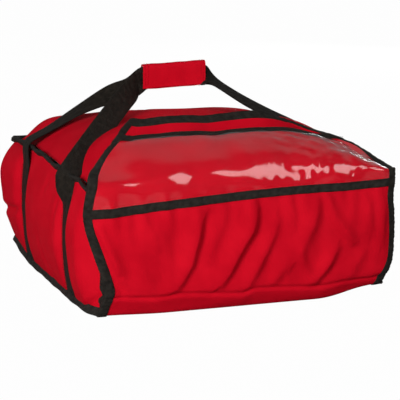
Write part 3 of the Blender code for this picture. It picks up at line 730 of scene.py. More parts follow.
TAPE_DARK = (0.009, 0.0075, 0.006)
TAPE_LIGHT = (0.027, 0.023, 0.019)
WEBBING_DARK = (0.009, 0.0072, 0.0054)
WEBBING_LIGHT = (0.021, 0.0165, 0.0125)
THREAD_DARK = (0.006, 0.005, 0.004)
THREAD_LIGHT = (0.014, 0.012, 0.010)
MATERIALS = {
    "red": nylon("red_nylon_cloth", 0.5),
    "tape": ribbed("black_ribbed_tape", TAPE_DARK, TAPE_LIGHT, 0.0010, 0.0045, 0.00016),
    "webbing": ribbed("black_webbing_weave", WEBBING_DARK, WEBBING_LIGHT, 0.0022, 0.0032, 0.00030),
    "thread": ribbed("black_thread", THREAD_DARK, THREAD_LIGHT, 0.0008, 0.001, 0.0001),
    "red_thread": nylon("red_thread", 0.4),
    "foam": mottled(
        "foam_sheet", (0.86, 0.86, 0.83), (0.8, 0.8, 0.76), (0.88, 0.88, 0.85),
        (500.0, 3.0), (500.0, 3.0), 0.0004, roughness=0.9, specular=0.2,
    ),
    "foil": mottled(
        "foil_lining_cloth", (0.74, 0.75, 0.76), (0.66, 0.67, 0.68), (0.8, 0.81, 0.82),
        (30.0, 3.0), (90.0, 5.0), 0.0012, roughness=0.3, metallic=0.85,
    ),
    "vinyl": vinyl_material(),
    "loop": fuzzy("loop_pile", 1200.0, 0.0006),
    "hook": fuzzy("hook_pile", 700.0, 0.0010),
}


def place(obj, kind, nodes, body=None, between=None, start=None, end=None):
    """Hides the model's parts that a piece stands for, and hangs it on the body that it follows; without one
    it stays where it is. Its kind, the two bodies between, and start and end are not used.
    """
    if nodes:
        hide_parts(*nodes)
    if body is not None:
        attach(obj, body)
    else:
        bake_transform(obj)
    return obj


def add_sheet(name, skin, lift, thickness, kind, node, held, rests_on, rows=None, **follow):
    """A layer of cloth or foil, placed."""
    piece = layer(name, skin, lift, thickness, MATERIALS[kind], rows)
    place(piece, kind, [node], **follow)
    declare_sheet(piece)


def add_foam(name, skins, depth, node, rows, columns, **follow):
    piece = filling(name, *skins, depth, MATERIALS["foam"], rows, columns)
    place(piece, "foam", [node], **follow)


def add_panel(label, node, skins, depth, held, foam_span, rows=None, **follow):
    """A panel's cloth, foam and foil. The pair of skins is for the cloth and for the foil; the pair held is
    not used.
    """
    foam = label + "_foam"
    shell, padding, lining = (node + ending for ending in ("_shell", "_padding", "_lining"))
    add_sheet(label + "_cloth", skins[0], 0.0, CLOTH, "red", shell, held[0], [foam], rows, **follow)
    add_foam(foam, skins, depth, padding, *foam_span, **follow)
    add_sheet(label + "_foil", skins[1], FOIL - depth, FOIL, "foil", lining, held[1], [foam], rows, **follow)


# The wall round the ends and the back.
WALL_RADIUS = 0.022
WALL_START = -0.247
WALL_STEP = 0.0050
WALL_ROWS = 44
WALL_CORNER_STEPS = 10
WALL_LOW_GAP = 0.0045
WALL_HIGH_GAP = 0.0015
# How far the wall swells at its ends, at its back and behind the left back strap, and the straps' pinch.
END_SWELL = 0.0235
BACK_SWELL = 0.0115
CORNER_SWELL = 0.0040
CORNER_SWELL_FROM = (0.14, 0.06)
STRAP_PINCH = 0.0120
STRAP_PINCH_WIDTH = 0.0245
STRAP_PINCH_POWER = 4
STRAP_CALM_SHARE = 0.8
SWELL_POWER = 2.1
# The share of its height where the wall is fullest, which is higher behind the left back strap.
FULLEST_SHARE = 0.5
FULLEST_HIGH_SHARE = 0.68
# The ends roll in beside the mouth.
MOUTH_ROLL_FROM = (0.200, 0.047)
MOUTH_ROLL = 0.011
# The wave of the top seam along the back.
SEAM_WAVE = 0.002
SEAM_WAVE_RATE = 14


def wall_line():
    """Points (x, y) and outward normals of the wall's plan, from the mouth's left edge to its right one."""
    straight = HALF_DEPTH - WALL_RADIUS
    left = [(-HALF_WIDTH, y, -1.0, 0.0) for y in np.arange(WALL_START, straight, WALL_STEP)]
    for turn in np.linspace(0, math.pi / 2, WALL_CORNER_STEPS):
        x = -HALF_WIDTH + WALL_RADIUS * (1 - math.cos(turn))
        y = straight + WALL_RADIUS * math.sin(turn)
        left.append((x, y, -math.cos(turn), math.sin(turn)))
    back = HALF_WIDTH - WALL_RADIUS
    run = np.arange(-back + WALL_STEP, back - WALL_STEP / 2, WALL_STEP)
    middle = [(x, HALF_DEPTH, 0.0, 1.0) for x in run]
    right = [(-x, y, -nx, ny) for x, y, nx, ny in reversed(left)]
    return np.array(left + middle + right)


def mouth_roll(y, end):
    return ramp(-y, *MOUTH_ROLL_FROM) * end


def wall_out(line, share, height, detail=1.0):
    """How far the wall swells out of its plan, at a share of its height."""
    x, y, nx, ny = (line[:, k][None, :] for k in range(4))
    end, back = nx**2, ny**2
    strap = np.exp(-(((np.abs(y) - STRAP_Y) / STRAP_PINCH_WIDTH) ** STRAP_PINCH_POWER))
    swell = END_SWELL - STRAP_PINCH * strap + CORNER_SWELL * ramp(y, *CORNER_SWELL_FROM) * (x < 0)
    fullest = np.where((x < 0) & (y > STRAP_Y), FULLEST_HIGH_SHARE, FULLEST_SHARE)
    level = np.where(share < fullest, share / fullest, (1 - share) / (1 - fullest))
    profile = 1 - (1 - level) ** SWELL_POWER
    roll = mouth_roll(y, end)
    amount = (end * swell + back * BACK_SWELL) * profile * (1 - roll) - MOUTH_ROLL * roll**2
    calm = 1 - STRAP_CALM_SHARE * strap
    folds = np.where(x < 0, fold_field(y, height, END_FOLDS_LEFT), fold_field(y, height, END_FOLDS_RIGHT))
    folds = folds * end * calm + fold_field(x, height, BACK_FOLDS) * back
    return amount + detail * (waves("wall", x + y, height) * profile * calm + folds)


def wall_grid(detail=1.0):
    line = wall_line()
    share = np.linspace(0, 1, WALL_ROWS)[:, None]
    low = bottom_lift(line[:, 0], line[:, 1])[None, :] + WALL_LOW_GAP
    high = SEAM_HEIGHT + seam_bow(line)[None, :] - WALL_HIGH_GAP
    height = low + (high - low) * share
    out = wall_out(line, share, height, detail)
    x = line[:, 0][None, :] + line[:, 2][None, :] * out
    y = line[:, 1][None, :] + line[:, 3][None, :] * out
    return np.stack(np.broadcast_arrays(x, y, height), axis=-1)


def seam_bow(line):
    """Rise of the top seam along the wall's plan."""
    wave = SEAM_WAVE * np.cos(line[:, 0] * SEAM_WAVE_RATE)
    return table_at(SEAM_BOW, line[:, 1]) * line[:, 2] ** 2 + wave * line[:, 3] ** 2


def wall_column(side, y):
    """The wall's column at a depth on its left (-1) or right (1) end."""
    line = wall_line()
    near = np.where((np.sign(line[:, 0]) == side) & (np.abs(line[:, 1]) < HALF_DEPTH - WALL_RADIUS))[0]
    near = near[np.argsort(line[near, 1])]
    return float(np.interp(y, line[near, 1], near))


def build_wall():
    skin = Skin(wall_grid(), (0, 1, 0))
    plain = Skin(wall_grid(FOIL_SHARE), (0, 1, 0))
    columns = skin.points.shape[1]
    foams = ["end_foam_left", "back_foam", "end_foam_right"]
    add_sheet("wall_cloth", skin, 0.0, CLOTH, "red", "wall_shell", "stretched", foams, body="bag")
    add_sheet("wall_foil", plain, FOIL - WALL, FOIL, "foil", "wall_lining", "stretched", foams, body="bag")
    end = int(np.argmax(wall_line()[:, 1] >= HALF_DEPTH - WALL_RADIUS))
    nodes = ("end_padding_left", "back_padding", "end_padding_right")
    spans = (slice(1, end), slice(end, columns - end), slice(columns - end, columns - 1))
    for name, node, span in zip(foams, nodes, spans):
        add_foam(name, (skin, plain), WALL, node, slice(1, -1), span, body="bag")
    return skin


# The top and bottom panels.
TOP_COLUMNS = 108
TOP_ROWS = 104
BOTTOM_COLUMNS = 72
BOTTOM_ROWS = 64
CROWDED_SHARE = 0.94
PANEL_TURN = math.pi / 2 * CROWDED_SHARE
TOP_OVERHANG = 0.004
TOP_FRONT = MOUTH - TOP_OVERHANG
BOTTOM_FRONT = -0.232
PANEL_FOAM_SPAN = (slice(2, -2), slice(2, -2))


def crowded(count, turn):
    """Shares from -1 to 1 that lie closer together towards both ends."""
    return np.sin(np.linspace(-1, 1, count) * turn) / math.sin(turn)


def panel_plan(columns, rows, front):
    """x and y of a panel's grid, whose back corners are rounded."""
    radius = WALL_RADIUS - (HALF_DEPTH - PANEL_BACK)
    y = (PANEL_BACK + front) / 2 + crowded(rows, PANEL_TURN) * (PANEL_BACK - front) / 2
    inset = np.clip(y - (PANEL_BACK - radius), 0, radius)
    half = PANEL_HALF - radius + np.sqrt(np.maximum(radius**2 - inset**2, 0))
    x = crowded(columns, PANEL_TURN)[None, :] * half[:, None]
    return x, np.broadcast_to(y[:, None], x.shape)


def build_top():
    x, y = panel_plan(TOP_COLUMNS, TOP_ROWS, TOP_FRONT)
    grids = [np.stack([x, y, top_height(x, y, detail)], axis=-1) for detail in (1.0, FOIL_SHARE)]
    skins = [Skin(grid, (0, 0, 1)) for grid in grids]
    add_panel("top", "top", skins, WALL, ("stretched", "stretched"), PANEL_FOAM_SPAN, body="bag")
    return skins[0]


def build_bottom():
    x, y = panel_plan(BOTTOM_COLUMNS, BOTTOM_ROWS, BOTTOM_FRONT)
    skin = Skin(np.stack([x, y, bottom_lift(x, y)], axis=-1), (0, 0, -1))
    add_panel("bottom", "bottom", (skin, skin), WALL, ("stretched", "laid"), PANEL_FOAM_SPAN, body="bag")


# How the seams' tapes lean, from outward (0) to upward (90 degrees), and the half sizes of their sections.
SEAM_LEAN = 48
SEAM_TAPE_HALF = 0.0092
SEAM_TAPE_THICK = 0.0032
FOOT_LEAN = -62
# The curled lump of the top seam's tape at the back left corner.
CURL_AT = (-0.250, 0.246)
CURL_WIDTH = 0.020
CURL_LEAN = 26
CURL_SWELL = 0.9
FOOT_TAPE_HALF = 0.0072
FOOT_TAPE_HEIGHT = 0.0070
FOOT_TAPE_OUT = 0.002
FOOT_WOBBLE_SHARE = 0.4
SEAM_SECTION = ((-1, -1), (0.2, -1.0), (0.8, -0.9), (1, 0), (0.8, 0.9), (0.2, 1.0), (-1, 1))
# How the tapes waver along the seams and on the flap's edges, as (size, rate, phase).
SEAM_WOBBLE = ((0.0014, 61, 0), (0.0010, 118, 1))
EDGE_WOBBLE = ((0.0003, 1.7, 0), (0.0003, 0.61, 0))
# The section of the tape round the mouth, as (inward, back).
MOUTH_SECTION = (
    (-0.0012, 0.012), (-0.0016, 0.0), (0.001, -0.0022), (0.009, -0.0022), (0.0116, 0.0), (0.0112, 0.012),
)
MOUTH_CORNER_PASSES = 3


def wobble(run, parts):
    return sum(size * np.sin(run * rate + phase) for size, rate, phase in parts)


def seam_profile(lean, half_length, half_thick):
    """Section of a folded tape that stands out of a seam at a lean."""
    turn = math.radians(lean)
    shape = []
    for along, thick in SEAM_SECTION:
        a, b = along * half_length, thick * half_thick
        shape.append((a * math.cos(turn) - b * math.sin(turn), a * math.sin(turn) + b * math.cos(turn)))
    return shape


def build_seam_tapes():
    line = wall_line()
    x, y, nx, ny = line.T
    outward = np.stack([nx, ny, np.zeros(len(line))], axis=-1)
    upward = np.broadcast_to(np.array([0.0, 0.0, 1.0]), outward.shape)
    pull = -MOUTH_ROLL * mouth_roll(y, nx**2) ** 2
    waver = wobble(np.arange(len(line)) * WALL_STEP, SEAM_WOBBLE)
    top = np.stack([x, y, SEAM_HEIGHT + seam_bow(line)], axis=-1) + outward * (pull + waver)[:, None]
    curl = bell(np.hypot(x - CURL_AT[0], y - CURL_AT[1]), CURL_WIDTH)
    leans, thicks = SEAM_LEAN - CURL_LEAN * curl, SEAM_TAPE_THICK * (1 + CURL_SWELL * curl)
    profile = [seam_profile(lean, SEAM_TAPE_HALF, thick) for lean, thick in zip(leans, thicks)]
    tape = sweep("top_seam_tape", top, outward, upward, profile, MATERIALS["tape"])
    place(tape, "tape", ["top_seam_binding"], body="bag")
    low = np.stack([x, y, FOOT_TAPE_HEIGHT + bottom_lift(x, y)], axis=-1)
    low = low + outward * (pull + FOOT_TAPE_OUT + FOOT_WOBBLE_SHARE * waver)[:, None]
    profile = seam_profile(FOOT_LEAN, FOOT_TAPE_HALF, SEAM_TAPE_THICK)
    tape = sweep("bottom_seam_tape", low, outward, upward, profile, MATERIALS["tape"])
    place(tape, "tape", ["bottom_seam_binding"], body="bag")


def build_mouth_tape(wall, top):
    """Tape round the mouth's edge: up the left end, along the top panel's front and down the right end."""
    left, right = wall.points[2:, 0], wall.points[:1:-1, -1]
    front = top.points[0, 3:-3]
    path = np.concatenate([left, front, right])
    inward = np.concatenate([
        np.broadcast_to([1.0, 0, 0], left.shape),
        np.broadcast_to([0, 0, -1.0], front.shape),
        np.broadcast_to([-1.0, 0, 0], right.shape),
    ])
    for _ in range(MOUTH_CORNER_PASSES):
        inward[1:-1] = unit(inward[:-2] + inward[1:-1] + inward[2:])
    back = np.broadcast_to(np.array([0.0, 1.0, 0.0]), path.shape)
    tape = sweep("mouth_tape", path, inward, back, MOUTH_SECTION, MATERIALS["tape"])
    place(tape, "tape", ["mouth_binding"], body="bag")


# The flap: the row that its pocket's tape follows, as a height, and how far above it the rows still slant.
TAPE_LEVEL = 0.1865
SLANT_REACH = 0.05
# How many rows the flap's side edges and its folds are smoothed over.
EDGE_BLUR = 4.2
FOLD_BLUR = 4.0
# Up to where the flap's foot follows the lifted corners, and the share of the top's folds that it shows.
FOOT_FROM = (0.005, 0.06)
SHOW_THROUGH_SHARE = 0.4
# The front face: its half width, its swell, and its turn at each corner as (start, length, depth).
FRONT_HALF = 0.268
FRONT_SWELL = 0.0085
FRONT_POWER_X = 4
FRONT_POWER_Z = 3
TURN_LIMIT = 1.2
LEFT_TURN = (0.242, 0.028, 0.014)
RIGHT_TURN = (0.240, 0.030, 0.012)
# How thick the flap is at its bound edges, and how late it thins towards them.
EDGE_THICK = 0.0038
EDGE_POWER = 12
END_THIN_REACH = 0.03
END_THIN_POWER = 3
FLAP_FOAM_COLUMNS = slice(3, -3)
# The flap's two folds, each between two bodies.
FOOT_FOLD = {"between": ("bag", "flap_front"), "start": (0, -0.254, 0.004), "end": (0, -0.258, 0.040)}
TOP_FOLD = {"between": ("flap_front", "flap_top"), "start": (0, -0.262, 0.202), "end": (0, -0.222, 0.236)}


def flap_grid():
    """Points of the flap's outer face, from under the bag up the front and over the top to its end."""
    first = FLAP_PATH_START - FLAP_FRONT_Y
    corner = first + FLAP_CORNER_HEIGHT
    whole = corner + (FLAP_END_Y - FLAP_FRONT_Y)
    rows = np.linspace(0, whole, FLAP_ROWS)[:, None]
    share = crowded(FLAP_COLUMNS, FLAP_COLUMN_TURN)[None, :]
    height = np.clip(rows - first, 0, FLAP_CORNER_HEIGHT)
    under, top = rows < first, rows > corner
    below = FLAP_PATH_START - rows * (first - TURN_UNDER) / first
    depth = np.where(under, below, FLAP_FRONT_Y + np.clip(rows - corner, 0, 1))
    left = np.where(top, table_at(FLAP_LEFT_HIGH, depth), table_at(FLAP_LEFT_LOW, height))
    right = np.where(top, table_at(FLAP_RIGHT_HIGH, depth), table_at(FLAP_RIGHT_LOW, height))
    left, right = blur(left, EDGE_BLUR), blur(right, EDGE_BLUR)
    x = (left + right) / 2 + share * (right - left) / 2
    slant = (table_at(TAPE_LINE, x) - TAPE_LEVEL) * smoothstep(rows / (first + TAPE_LEVEL))
    z = np.where(top, 0.0, height + slant * (1 - ramp(rows, first + TAPE_LEVEL, SLANT_REACH)))
    y = np.where(top, depth, 0.0)
    front = front_depth(x, z)
    over = top_height(x, np.maximum(y, MOUTH), SHOW_THROUGH_SHARE) + flap_lift(x, y, share, rows, whole)
    z = np.where(top, over, np.where(under, 0.0, z))
    y = np.where(top, y, np.where(under, depth, front))
    foot = np.where(top, 0, 1 - ramp(z, *FOOT_FROM))
    z = z + bottom_lift(x, np.full_like(x, -HALF_DEPTH)) * foot
    grid = np.stack([x, blur(y, FOLD_BLUR), blur(z, FOLD_BLUR)], axis=-1)
    return grid, rows[:, 0], share, first


def blur(values, width):
    """Smooths along the rows, which rounds the flap's folds. The ends stay."""
    reach = int(3 * width)
    weights = np.exp(-0.5 * (np.arange(-reach, reach + 1) / width) ** 2)
    weights /= weights.sum()
    flat = values.reshape(len(values), -1)
    before = 2 * flat[:1] - flat[reach:0:-1]
    after = 2 * flat[-1:] - flat[-2 : -reach - 2 : -1]
    padded = np.concatenate([before, flat, after])
    out = np.stack([np.convolve(column, weights, "valid") for column in padded.T], axis=1)
    return out.reshape(values.shape)


def front_depth(x, z):
    """Where the flap's front face lies: it swells in the middle and turns back round the corners."""
    across = np.clip(np.abs(x) / FRONT_HALF, 0, 1)
    upright = np.clip(np.abs(2 * z / FLAP_CORNER_HEIGHT - 1), 0, 1)
    back = -FRONT_SWELL * (1 - across**FRONT_POWER_X) * (1 - upright**FRONT_POWER_Z)
    for out, (start, length, depth) in ((-x, LEFT_TURN), (x, RIGHT_TURN)):
        back = back + depth * np.clip((out - start) / length, 0, TURN_LIMIT) ** 2
    return FLAP_FRONT_Y + back + TURN_UNDER * ramp(table_at(BOTTOM_LINE, x), z, TURN_UNDER_HEIGHT)


def flap_lift(x, y, share, rows, whole):
    """Height of the flap's outer face over the top panel: low at its bound edges, puffed up beside them."""
    fuller = FLAP_FULLER * (1 - ramp(rows - whole, *FLAP_THIN_FROM))
    beside = to_edge(np.abs(share), BESIDE_SHARE)
    left = table_at(FLAP_LEFT_RISE, y) * beside * (share < 0)
    right = table_at(FLAP_RIGHT_RISE, y) * beside * (share > 0)
    at_right = to_edge(share, RIGHT_SHARE)
    front = table_at(FLAP_FRONT_RISE, y) * (1 - np.where(share > 0, at_right, beside))
    hump = FLAP_HUMP_RISE * bell(x - FLAP_HUMP_X, FLAP_HUMP_WIDTH) * ramp(y, *FLAP_HUMP_FROM)
    tilt = FLAP_END_TILT * np.clip((rows - whole + FLAP_END_REACH) / FLAP_END_REACH, 0, 1) ** 2
    tilt = tilt * (1 - RIGHT_TILT_SHARE * at_right)
    lifted = np.where(share < 0, table_at(LEFT_EDGE_LIFT, y), table_at(RIGHT_EDGE_LIFT, y))
    level = lifted * to_edge(np.abs(share), LEVEL_SHARE)
    return FLAP_REST + fuller + left + right + front + hump + tilt + level


def flap_wrinkles(grid):
    """How far the flap's face stands out with its waves, gathers and folds."""
    x, y, z = (grid[..., k] for k in range(3))
    on_front = ramp(-y, *FRONT_FROM) * ramp(z, *FLOOR_FROM) * ramp(-z, *TOP_FOLD_FROM)
    below_tape = np.clip(table_at(TAPE_LINE, x) - z, 0, 1)
    above_line = z - table_at(BOTTOM_LINE, x)
    gathers = waves("gathers", x, z) * ramp(z, *GATHERS_FROM)
    gathers = gathers * (GATHER_REST_SHARE + np.exp(-below_tape / GATHER_REACH))
    folds = fold_field(x, z, FRONT_FOLDS) * ramp(above_line, *FOLDS_FROM)
    line = BOTTOM_LINE_DEPTH * bell(above_line, BOTTOM_LINE_WIDTH)
    upper = waves("upper gathers", x, z) * ramp(x, *UPPER_RIGHT_FROM) * ramp(z, *UPPER_HEIGHT_FROM)
    upper = upper * ramp(-y, *UPPER_FRONT_FROM)
    over = waves("over the top", x, y) * (1 - on_front) * ramp(z, *OVER_FROM)
    side = 1 - np.abs(np.linspace(-1, 1, grid.shape[1]))[None, :] ** CALM_EDGE_POWER
    return ((gathers + waves("front", x, z) + folds - line) * on_front + over + upper) * side


def build_flap():
    grid, rows, share, first = flap_grid()
    normals = Skin(grid, (0, -1, 0)).normals
    wrinkles = flap_wrinkles(grid)[..., None]
    skin, calm = (Skin(grid + normals * detail * wrinkles, (0, -1, 0)) for detail in (1.0, FOIL_SHARE))
    edge = np.abs(share) ** EDGE_POWER
    end = np.clip((rows - rows[-1] + END_THIN_REACH) / END_THIN_REACH, 0, 1)[:, None] ** END_THIN_POWER
    thick = EDGE_THICK + (WALL - EDGE_THICK) * (1 - edge) * (1 - end)
    split = int(np.argmin(np.abs(rows - first - TAPE_LEVEL)))
    parts = (
        ("flap_lower", slice(0, split + 1), "flap_front", "gathered", FOOT_FOLD),
        ("flap_upper", slice(split, None), "flap_top", "folded", TOP_FOLD),
    )
    for label, span, node, held, follow in parts:
        foam_span = (span, FLAP_FOAM_COLUMNS)
        add_panel(label, node, (skin, calm), thick, (held, "folded"), foam_span, span, **follow)
    build_flap_tapes(skin, split)
    build_pocket(skin, rows, first, split)


# The section of an edge's binding: how far in from the edge each point lies, and how high it stands.
TAPE_FACE = ((1.0, 0.0002), (0.97, 0.0010), (0.75, 0.0013), (0.5, 0.0013), (0.25, 0.0013), (0.02, 0.0011))
TAPE_BACK = ((0.02, 0.0008), (0.4, 0.0010), (0.8, 0.0010), (0.84, 0.0002))
TAPE_BEYOND = 0.0014
TAPE_DEPTH = 0.0042
# How deep the two corners of the turn lie, and from which lift on the tape wavers.
TAPE_TURN_SHARES = (0.25, 0.8)
LEAST_WAVER_LIFT = 0.0005
TAPE_STITCH_LIFT = 0.0013
FIRST_TAPE_ROW = 8
END_TAPE_STATIONS = 60
# Where the stitches run, as a share of the way from the edge to the binding's inner edge.
STITCH_SHARE = 0.88


def edge_tape(name, skin, path, inner, nodes, follow):
    """Binding on an edge of a skin: it covers a band of the face, turns round the edge and covers the back.

    The path on the edge and the line that the tape reaches in to are given as rows and columns.
    """
    path, inner = np.array(path), np.array(inner)
    waver = wobble(np.arange(path.shape[1]), EDGE_WOBBLE)
    points = []
    for share, lift in TAPE_FACE:
        points.append(skin.at(*path + (inner - path) * share, lift + waver * (lift > LEAST_WAVER_LIFT))[0])
    edge, normal = skin.at(*path)
    out = unit(edge - skin.at(*inner)[0])
    out = unit(out - normal * np.sum(out * normal, axis=1, keepdims=True))
    for depth in TAPE_TURN_SHARES:
        points.append(edge + out * TAPE_BEYOND - normal * depth * TAPE_DEPTH)
    for share, lift in TAPE_BACK:
        points.append(skin.at(*path + (inner - path) * share, -TAPE_DEPTH - lift)[0])
    tape = tube(name, np.stack(points, axis=1), MATERIALS["tape"])
    seam = skin.at(*path + (inner - path) * STITCH_SHARE, TAPE_STITCH_LIFT)
    stitches(name.replace("tape", "stitches"), [seam], "thread", **follow)
    return place(tape, "tape", nodes, **follow)


def build_flap_tapes(skin, split):
    last_row, last_column = (count - 1 for count in skin.points.shape[:2])
    for side, label in ((0, "left"), (1, "right")):
        run = np.arange(FIRST_TAPE_ROW, split + 1, 1.0)
        path = (run, np.full(len(run), float(side * last_column)))
        inner = (run, inner_columns(skin, run, side))
        edge_tape("flap_side_tape_" + label, skin, path, inner, ["flap_front_binding_" + label], FOOT_FOLD)
    inset_row = inner_row(skin)
    up = np.arange(split, last_row + TINY, 1.0)
    stop = up - smoothstep((up - split) / (last_row - split)) * (last_row - inset_row)
    left_in = inner_columns(skin, stop, 0)
    right_in = inner_columns(skin, stop, 1)
    across = np.linspace(0, last_column, END_TAPE_STATIONS)[1:-1]
    across_in = left_in[-1] + (right_in[-1] - left_in[-1]) * across / last_column
    path_rows = np.concatenate([up, np.full(len(across), float(last_row)), up[::-1]])
    path_columns = np.concatenate([np.zeros(len(up)), across, np.full(len(up), float(last_column))])
    in_rows = np.concatenate([stop, np.full(len(across), inset_row), stop[::-1]])
    in_columns = np.concatenate([left_in, across_in, right_in[::-1]])
    path, inner = (path_rows, path_columns), (in_rows, in_columns)
    edge_tape("flap_end_tape", skin, path, inner, ["flap_top_binding"], TOP_FOLD)


def inner_columns(skin, run, side):
    """Columns that lie a binding's width in from one side, at each row."""
    columns = np.arange(skin.points.shape[1])
    found = []
    for row in run:
        along = skin.read(skin.across, np.full(len(columns), row), columns.astype(float))
        target = BINDING_WIDTH if side == 0 else along[-1] - BINDING_WIDTH
        found.append(np.interp(target, along, columns))
    return np.array(found)


def inner_row(skin):
    middle = skin.points.shape[1] // 2
    down = skin.down[:, middle]
    return float(np.interp(down[-1] - END_BINDING_WIDTH, down, np.arange(len(down))))


# The pocket's tapes: stations along them, and sections, lifts and stitches as shares of their half width.
POCKET_STATIONS = 200
PATCH_SHARES = np.array([-1.0, -0.92, 0.0, 0.92, 1.0])
POCKET_TAPE_LIFT = 0.0017
POCKET_STITCH_LIFT = 0.0018
POCKET_STITCH_SHARES = (-0.78, 0.78)
EDGE_TAPE_LIFT = 0.0016
EDGE_TAPE_RISE = 0.0022
EDGE_TAPE_END_COLUMNS = 14
EDGE_STITCH_LIFT = 0.0039
EDGE_STITCH_SHARE = 0.7
POCKET_TAPE_THICK = 0.0010
# The clear sheet: where it starts under its tape, its grid, its thickness, and how it stands off the cloth.
VINYL_START_SHARE = 0.2
VINYL_ROW_STEP = 0.7
VINYL_COLUMNS = 260
VINYL_THICK = 0.0004
VINYL_REST = 0.0007
VINYL_RISE = 0.0022
VINYL_FREE_ACROSS = 0.025
VINYL_FREE_ALONG = 0.030
VINYL_RIGHT_FROM = (0.0, 0.12)


def build_pocket(skin, rows, first, split):
    """The ticket pocket: the tape on its foot, the clear sheet, and the narrow tape on its open edge."""
    spacing = rows[1] - rows[0]
    half = POCKET_TAPE_WIDTH / 2 / spacing
    last = skin.points.shape[1] - 1
    columns = np.linspace(0.5, last - 0.5, POCKET_STATIONS)
    across = np.full(len(columns), 1.0)
    tape_rows = split + half * PATCH_SHARES
    tape = patch("pocket_tape", skin, tape_rows, columns, POCKET_TAPE_LIFT, POCKET_TAPE_THICK, "tape")
    place(tape, "tape", ["window_lower_tape"], body="flap_front")
    stitch_rows = [split + half * share for share in POCKET_STITCH_SHARES]
    lines = [skin.at(across * row, columns, POCKET_STITCH_LIFT) for row in stitch_rows]
    stitches("pocket_tape_stitches", lines, "thread", body="flap_front")
    top_row = float(np.interp(POCKET_REACH, rows - first - FLAP_CORNER_HEIGHT, np.arange(len(rows))))
    run = np.arange(split + VINYL_START_SHARE * half, top_row, VINYL_ROW_STEP)
    build_vinyl(skin, run, spacing, split, last)
    half = POCKET_EDGE_WIDTH / 2 / spacing
    inward = smoothstep(np.minimum(columns, last - columns) / EDGE_TAPE_END_COLUMNS)
    lift = EDGE_TAPE_LIFT + EDGE_TAPE_RISE * inward
    tape_rows = top_row + half * PATCH_SHARES
    edge = patch("pocket_edge_tape", skin, tape_rows, columns, lift[None, :], POCKET_TAPE_THICK, "tape")
    place(edge, "tape", ["window_upper_binding"], body="flap_top")
    lines = [skin.at(across * (top_row - half * EDGE_STITCH_SHARE), columns, EDGE_STITCH_LIFT)]
    stitches("pocket_edge_stitches", lines, "thread", body="flap_top")


def build_vinyl(skin, run, spacing, split, last):
    """The clear sheet over some rows of the flap: it lies close at its edges and stands off in the middle."""
    left, right = inner_columns(skin, run, 0) * 0.5, (inner_columns(skin, run, 1) + last) / 2
    grid_columns = left[:, None] + (right - left)[:, None] * np.linspace(0, 1, VINYL_COLUMNS)
    grid_rows = np.broadcast_to(run[:, None], grid_columns.shape)
    points, normals = skin.at(grid_rows, grid_columns)
    x, v = points[..., 0], grid_rows * spacing
    from_left = skin.read(skin.across, grid_rows, grid_columns)
    from_right = skin.read(skin.across, grid_rows, np.full(grid_rows.shape, float(last))) - from_left
    free = ramp(np.minimum(from_left, from_right), BINDING_WIDTH, VINYL_FREE_ACROSS)
    free = free * ramp(v, split * spacing + POCKET_TAPE_WIDTH / 2, VINYL_FREE_ALONG)
    bumps = waves("vinyl", x, v) + ramp(x, *VINYL_RIGHT_FROM) * waves("vinyl at right", x, v)
    lift = VINYL_REST + np.maximum((VINYL_RISE + bumps) * free, 0)
    outer = points + normals * lift[..., None]
    vinyl = sheet_object("pocket_vinyl", outer, outer - normals * VINYL_THICK, MATERIALS["vinyl"])
    place(vinyl, "vinyl", ["window_sheet_front", "window_sheet_top"], **TOP_FOLD)
    declare_sheet(vinyl)


def patch(name, skin, row_values, column_values, lift, thickness, kind):
    """A strip of tape on a skin."""
    grid_rows, grid_columns = np.meshgrid(row_values, column_values, indexing="ij")
    outer, normals = skin.at(grid_rows, grid_columns, lift)
    lift = np.broadcast_to(np.asarray(lift), grid_rows.shape)[..., None]
    outer[0] -= normals[0] * lift[0] * 0.5
    outer[-1] -= normals[-1] * lift[-1] * 0.5
    return sheet_object(name, outer, outer - normals * thickness, MATERIALS[kind])


# Hook and loop tape under the flap's end: name, node, width, lift, thickness, kind and body.
CLOSURE_LENGTH = 0.190
CLOSURE_Y = -0.1485
CLOSURE_GRID = (40, 14)
CLOSURE_TAPES = (
    ("loop_strip", "loop_tape", 0.050, 0.0017, 0.0013, "loop", "bag"),
    ("hook_strip", "hook_tape", 0.025, 0.0032, 0.0012, "hook", "flap_top"),
)


def build_closure():
    for name, node, width, lift, thickness, kind, body in CLOSURE_TAPES:
        x, y = np.meshgrid(
            np.linspace(-CLOSURE_LENGTH / 2, CLOSURE_LENGTH / 2, CLOSURE_GRID[0]),
            np.linspace(CLOSURE_Y - width / 2, CLOSURE_Y + width / 2, CLOSURE_GRID[1]),
        )
        skin = Skin(np.stack([x, y, top_height(x, y)], axis=-1), (0, 0, 1))
        strip = layer(name, skin, lift, thickness, MATERIALS[kind])
        place(strip, kind, [node], body=body)


# Straps and the wrap.
GRIP_CENTRE = np.array([0.0, 0.10447, 0.33201])
GRIP_HALF = 0.0585
SEAM_CLEAR = 0.0080
# How far the front strap is turned outward where it leaves the seam.
STRAP_FLARE = 0.70
WRAP_SLOPE = 0.035
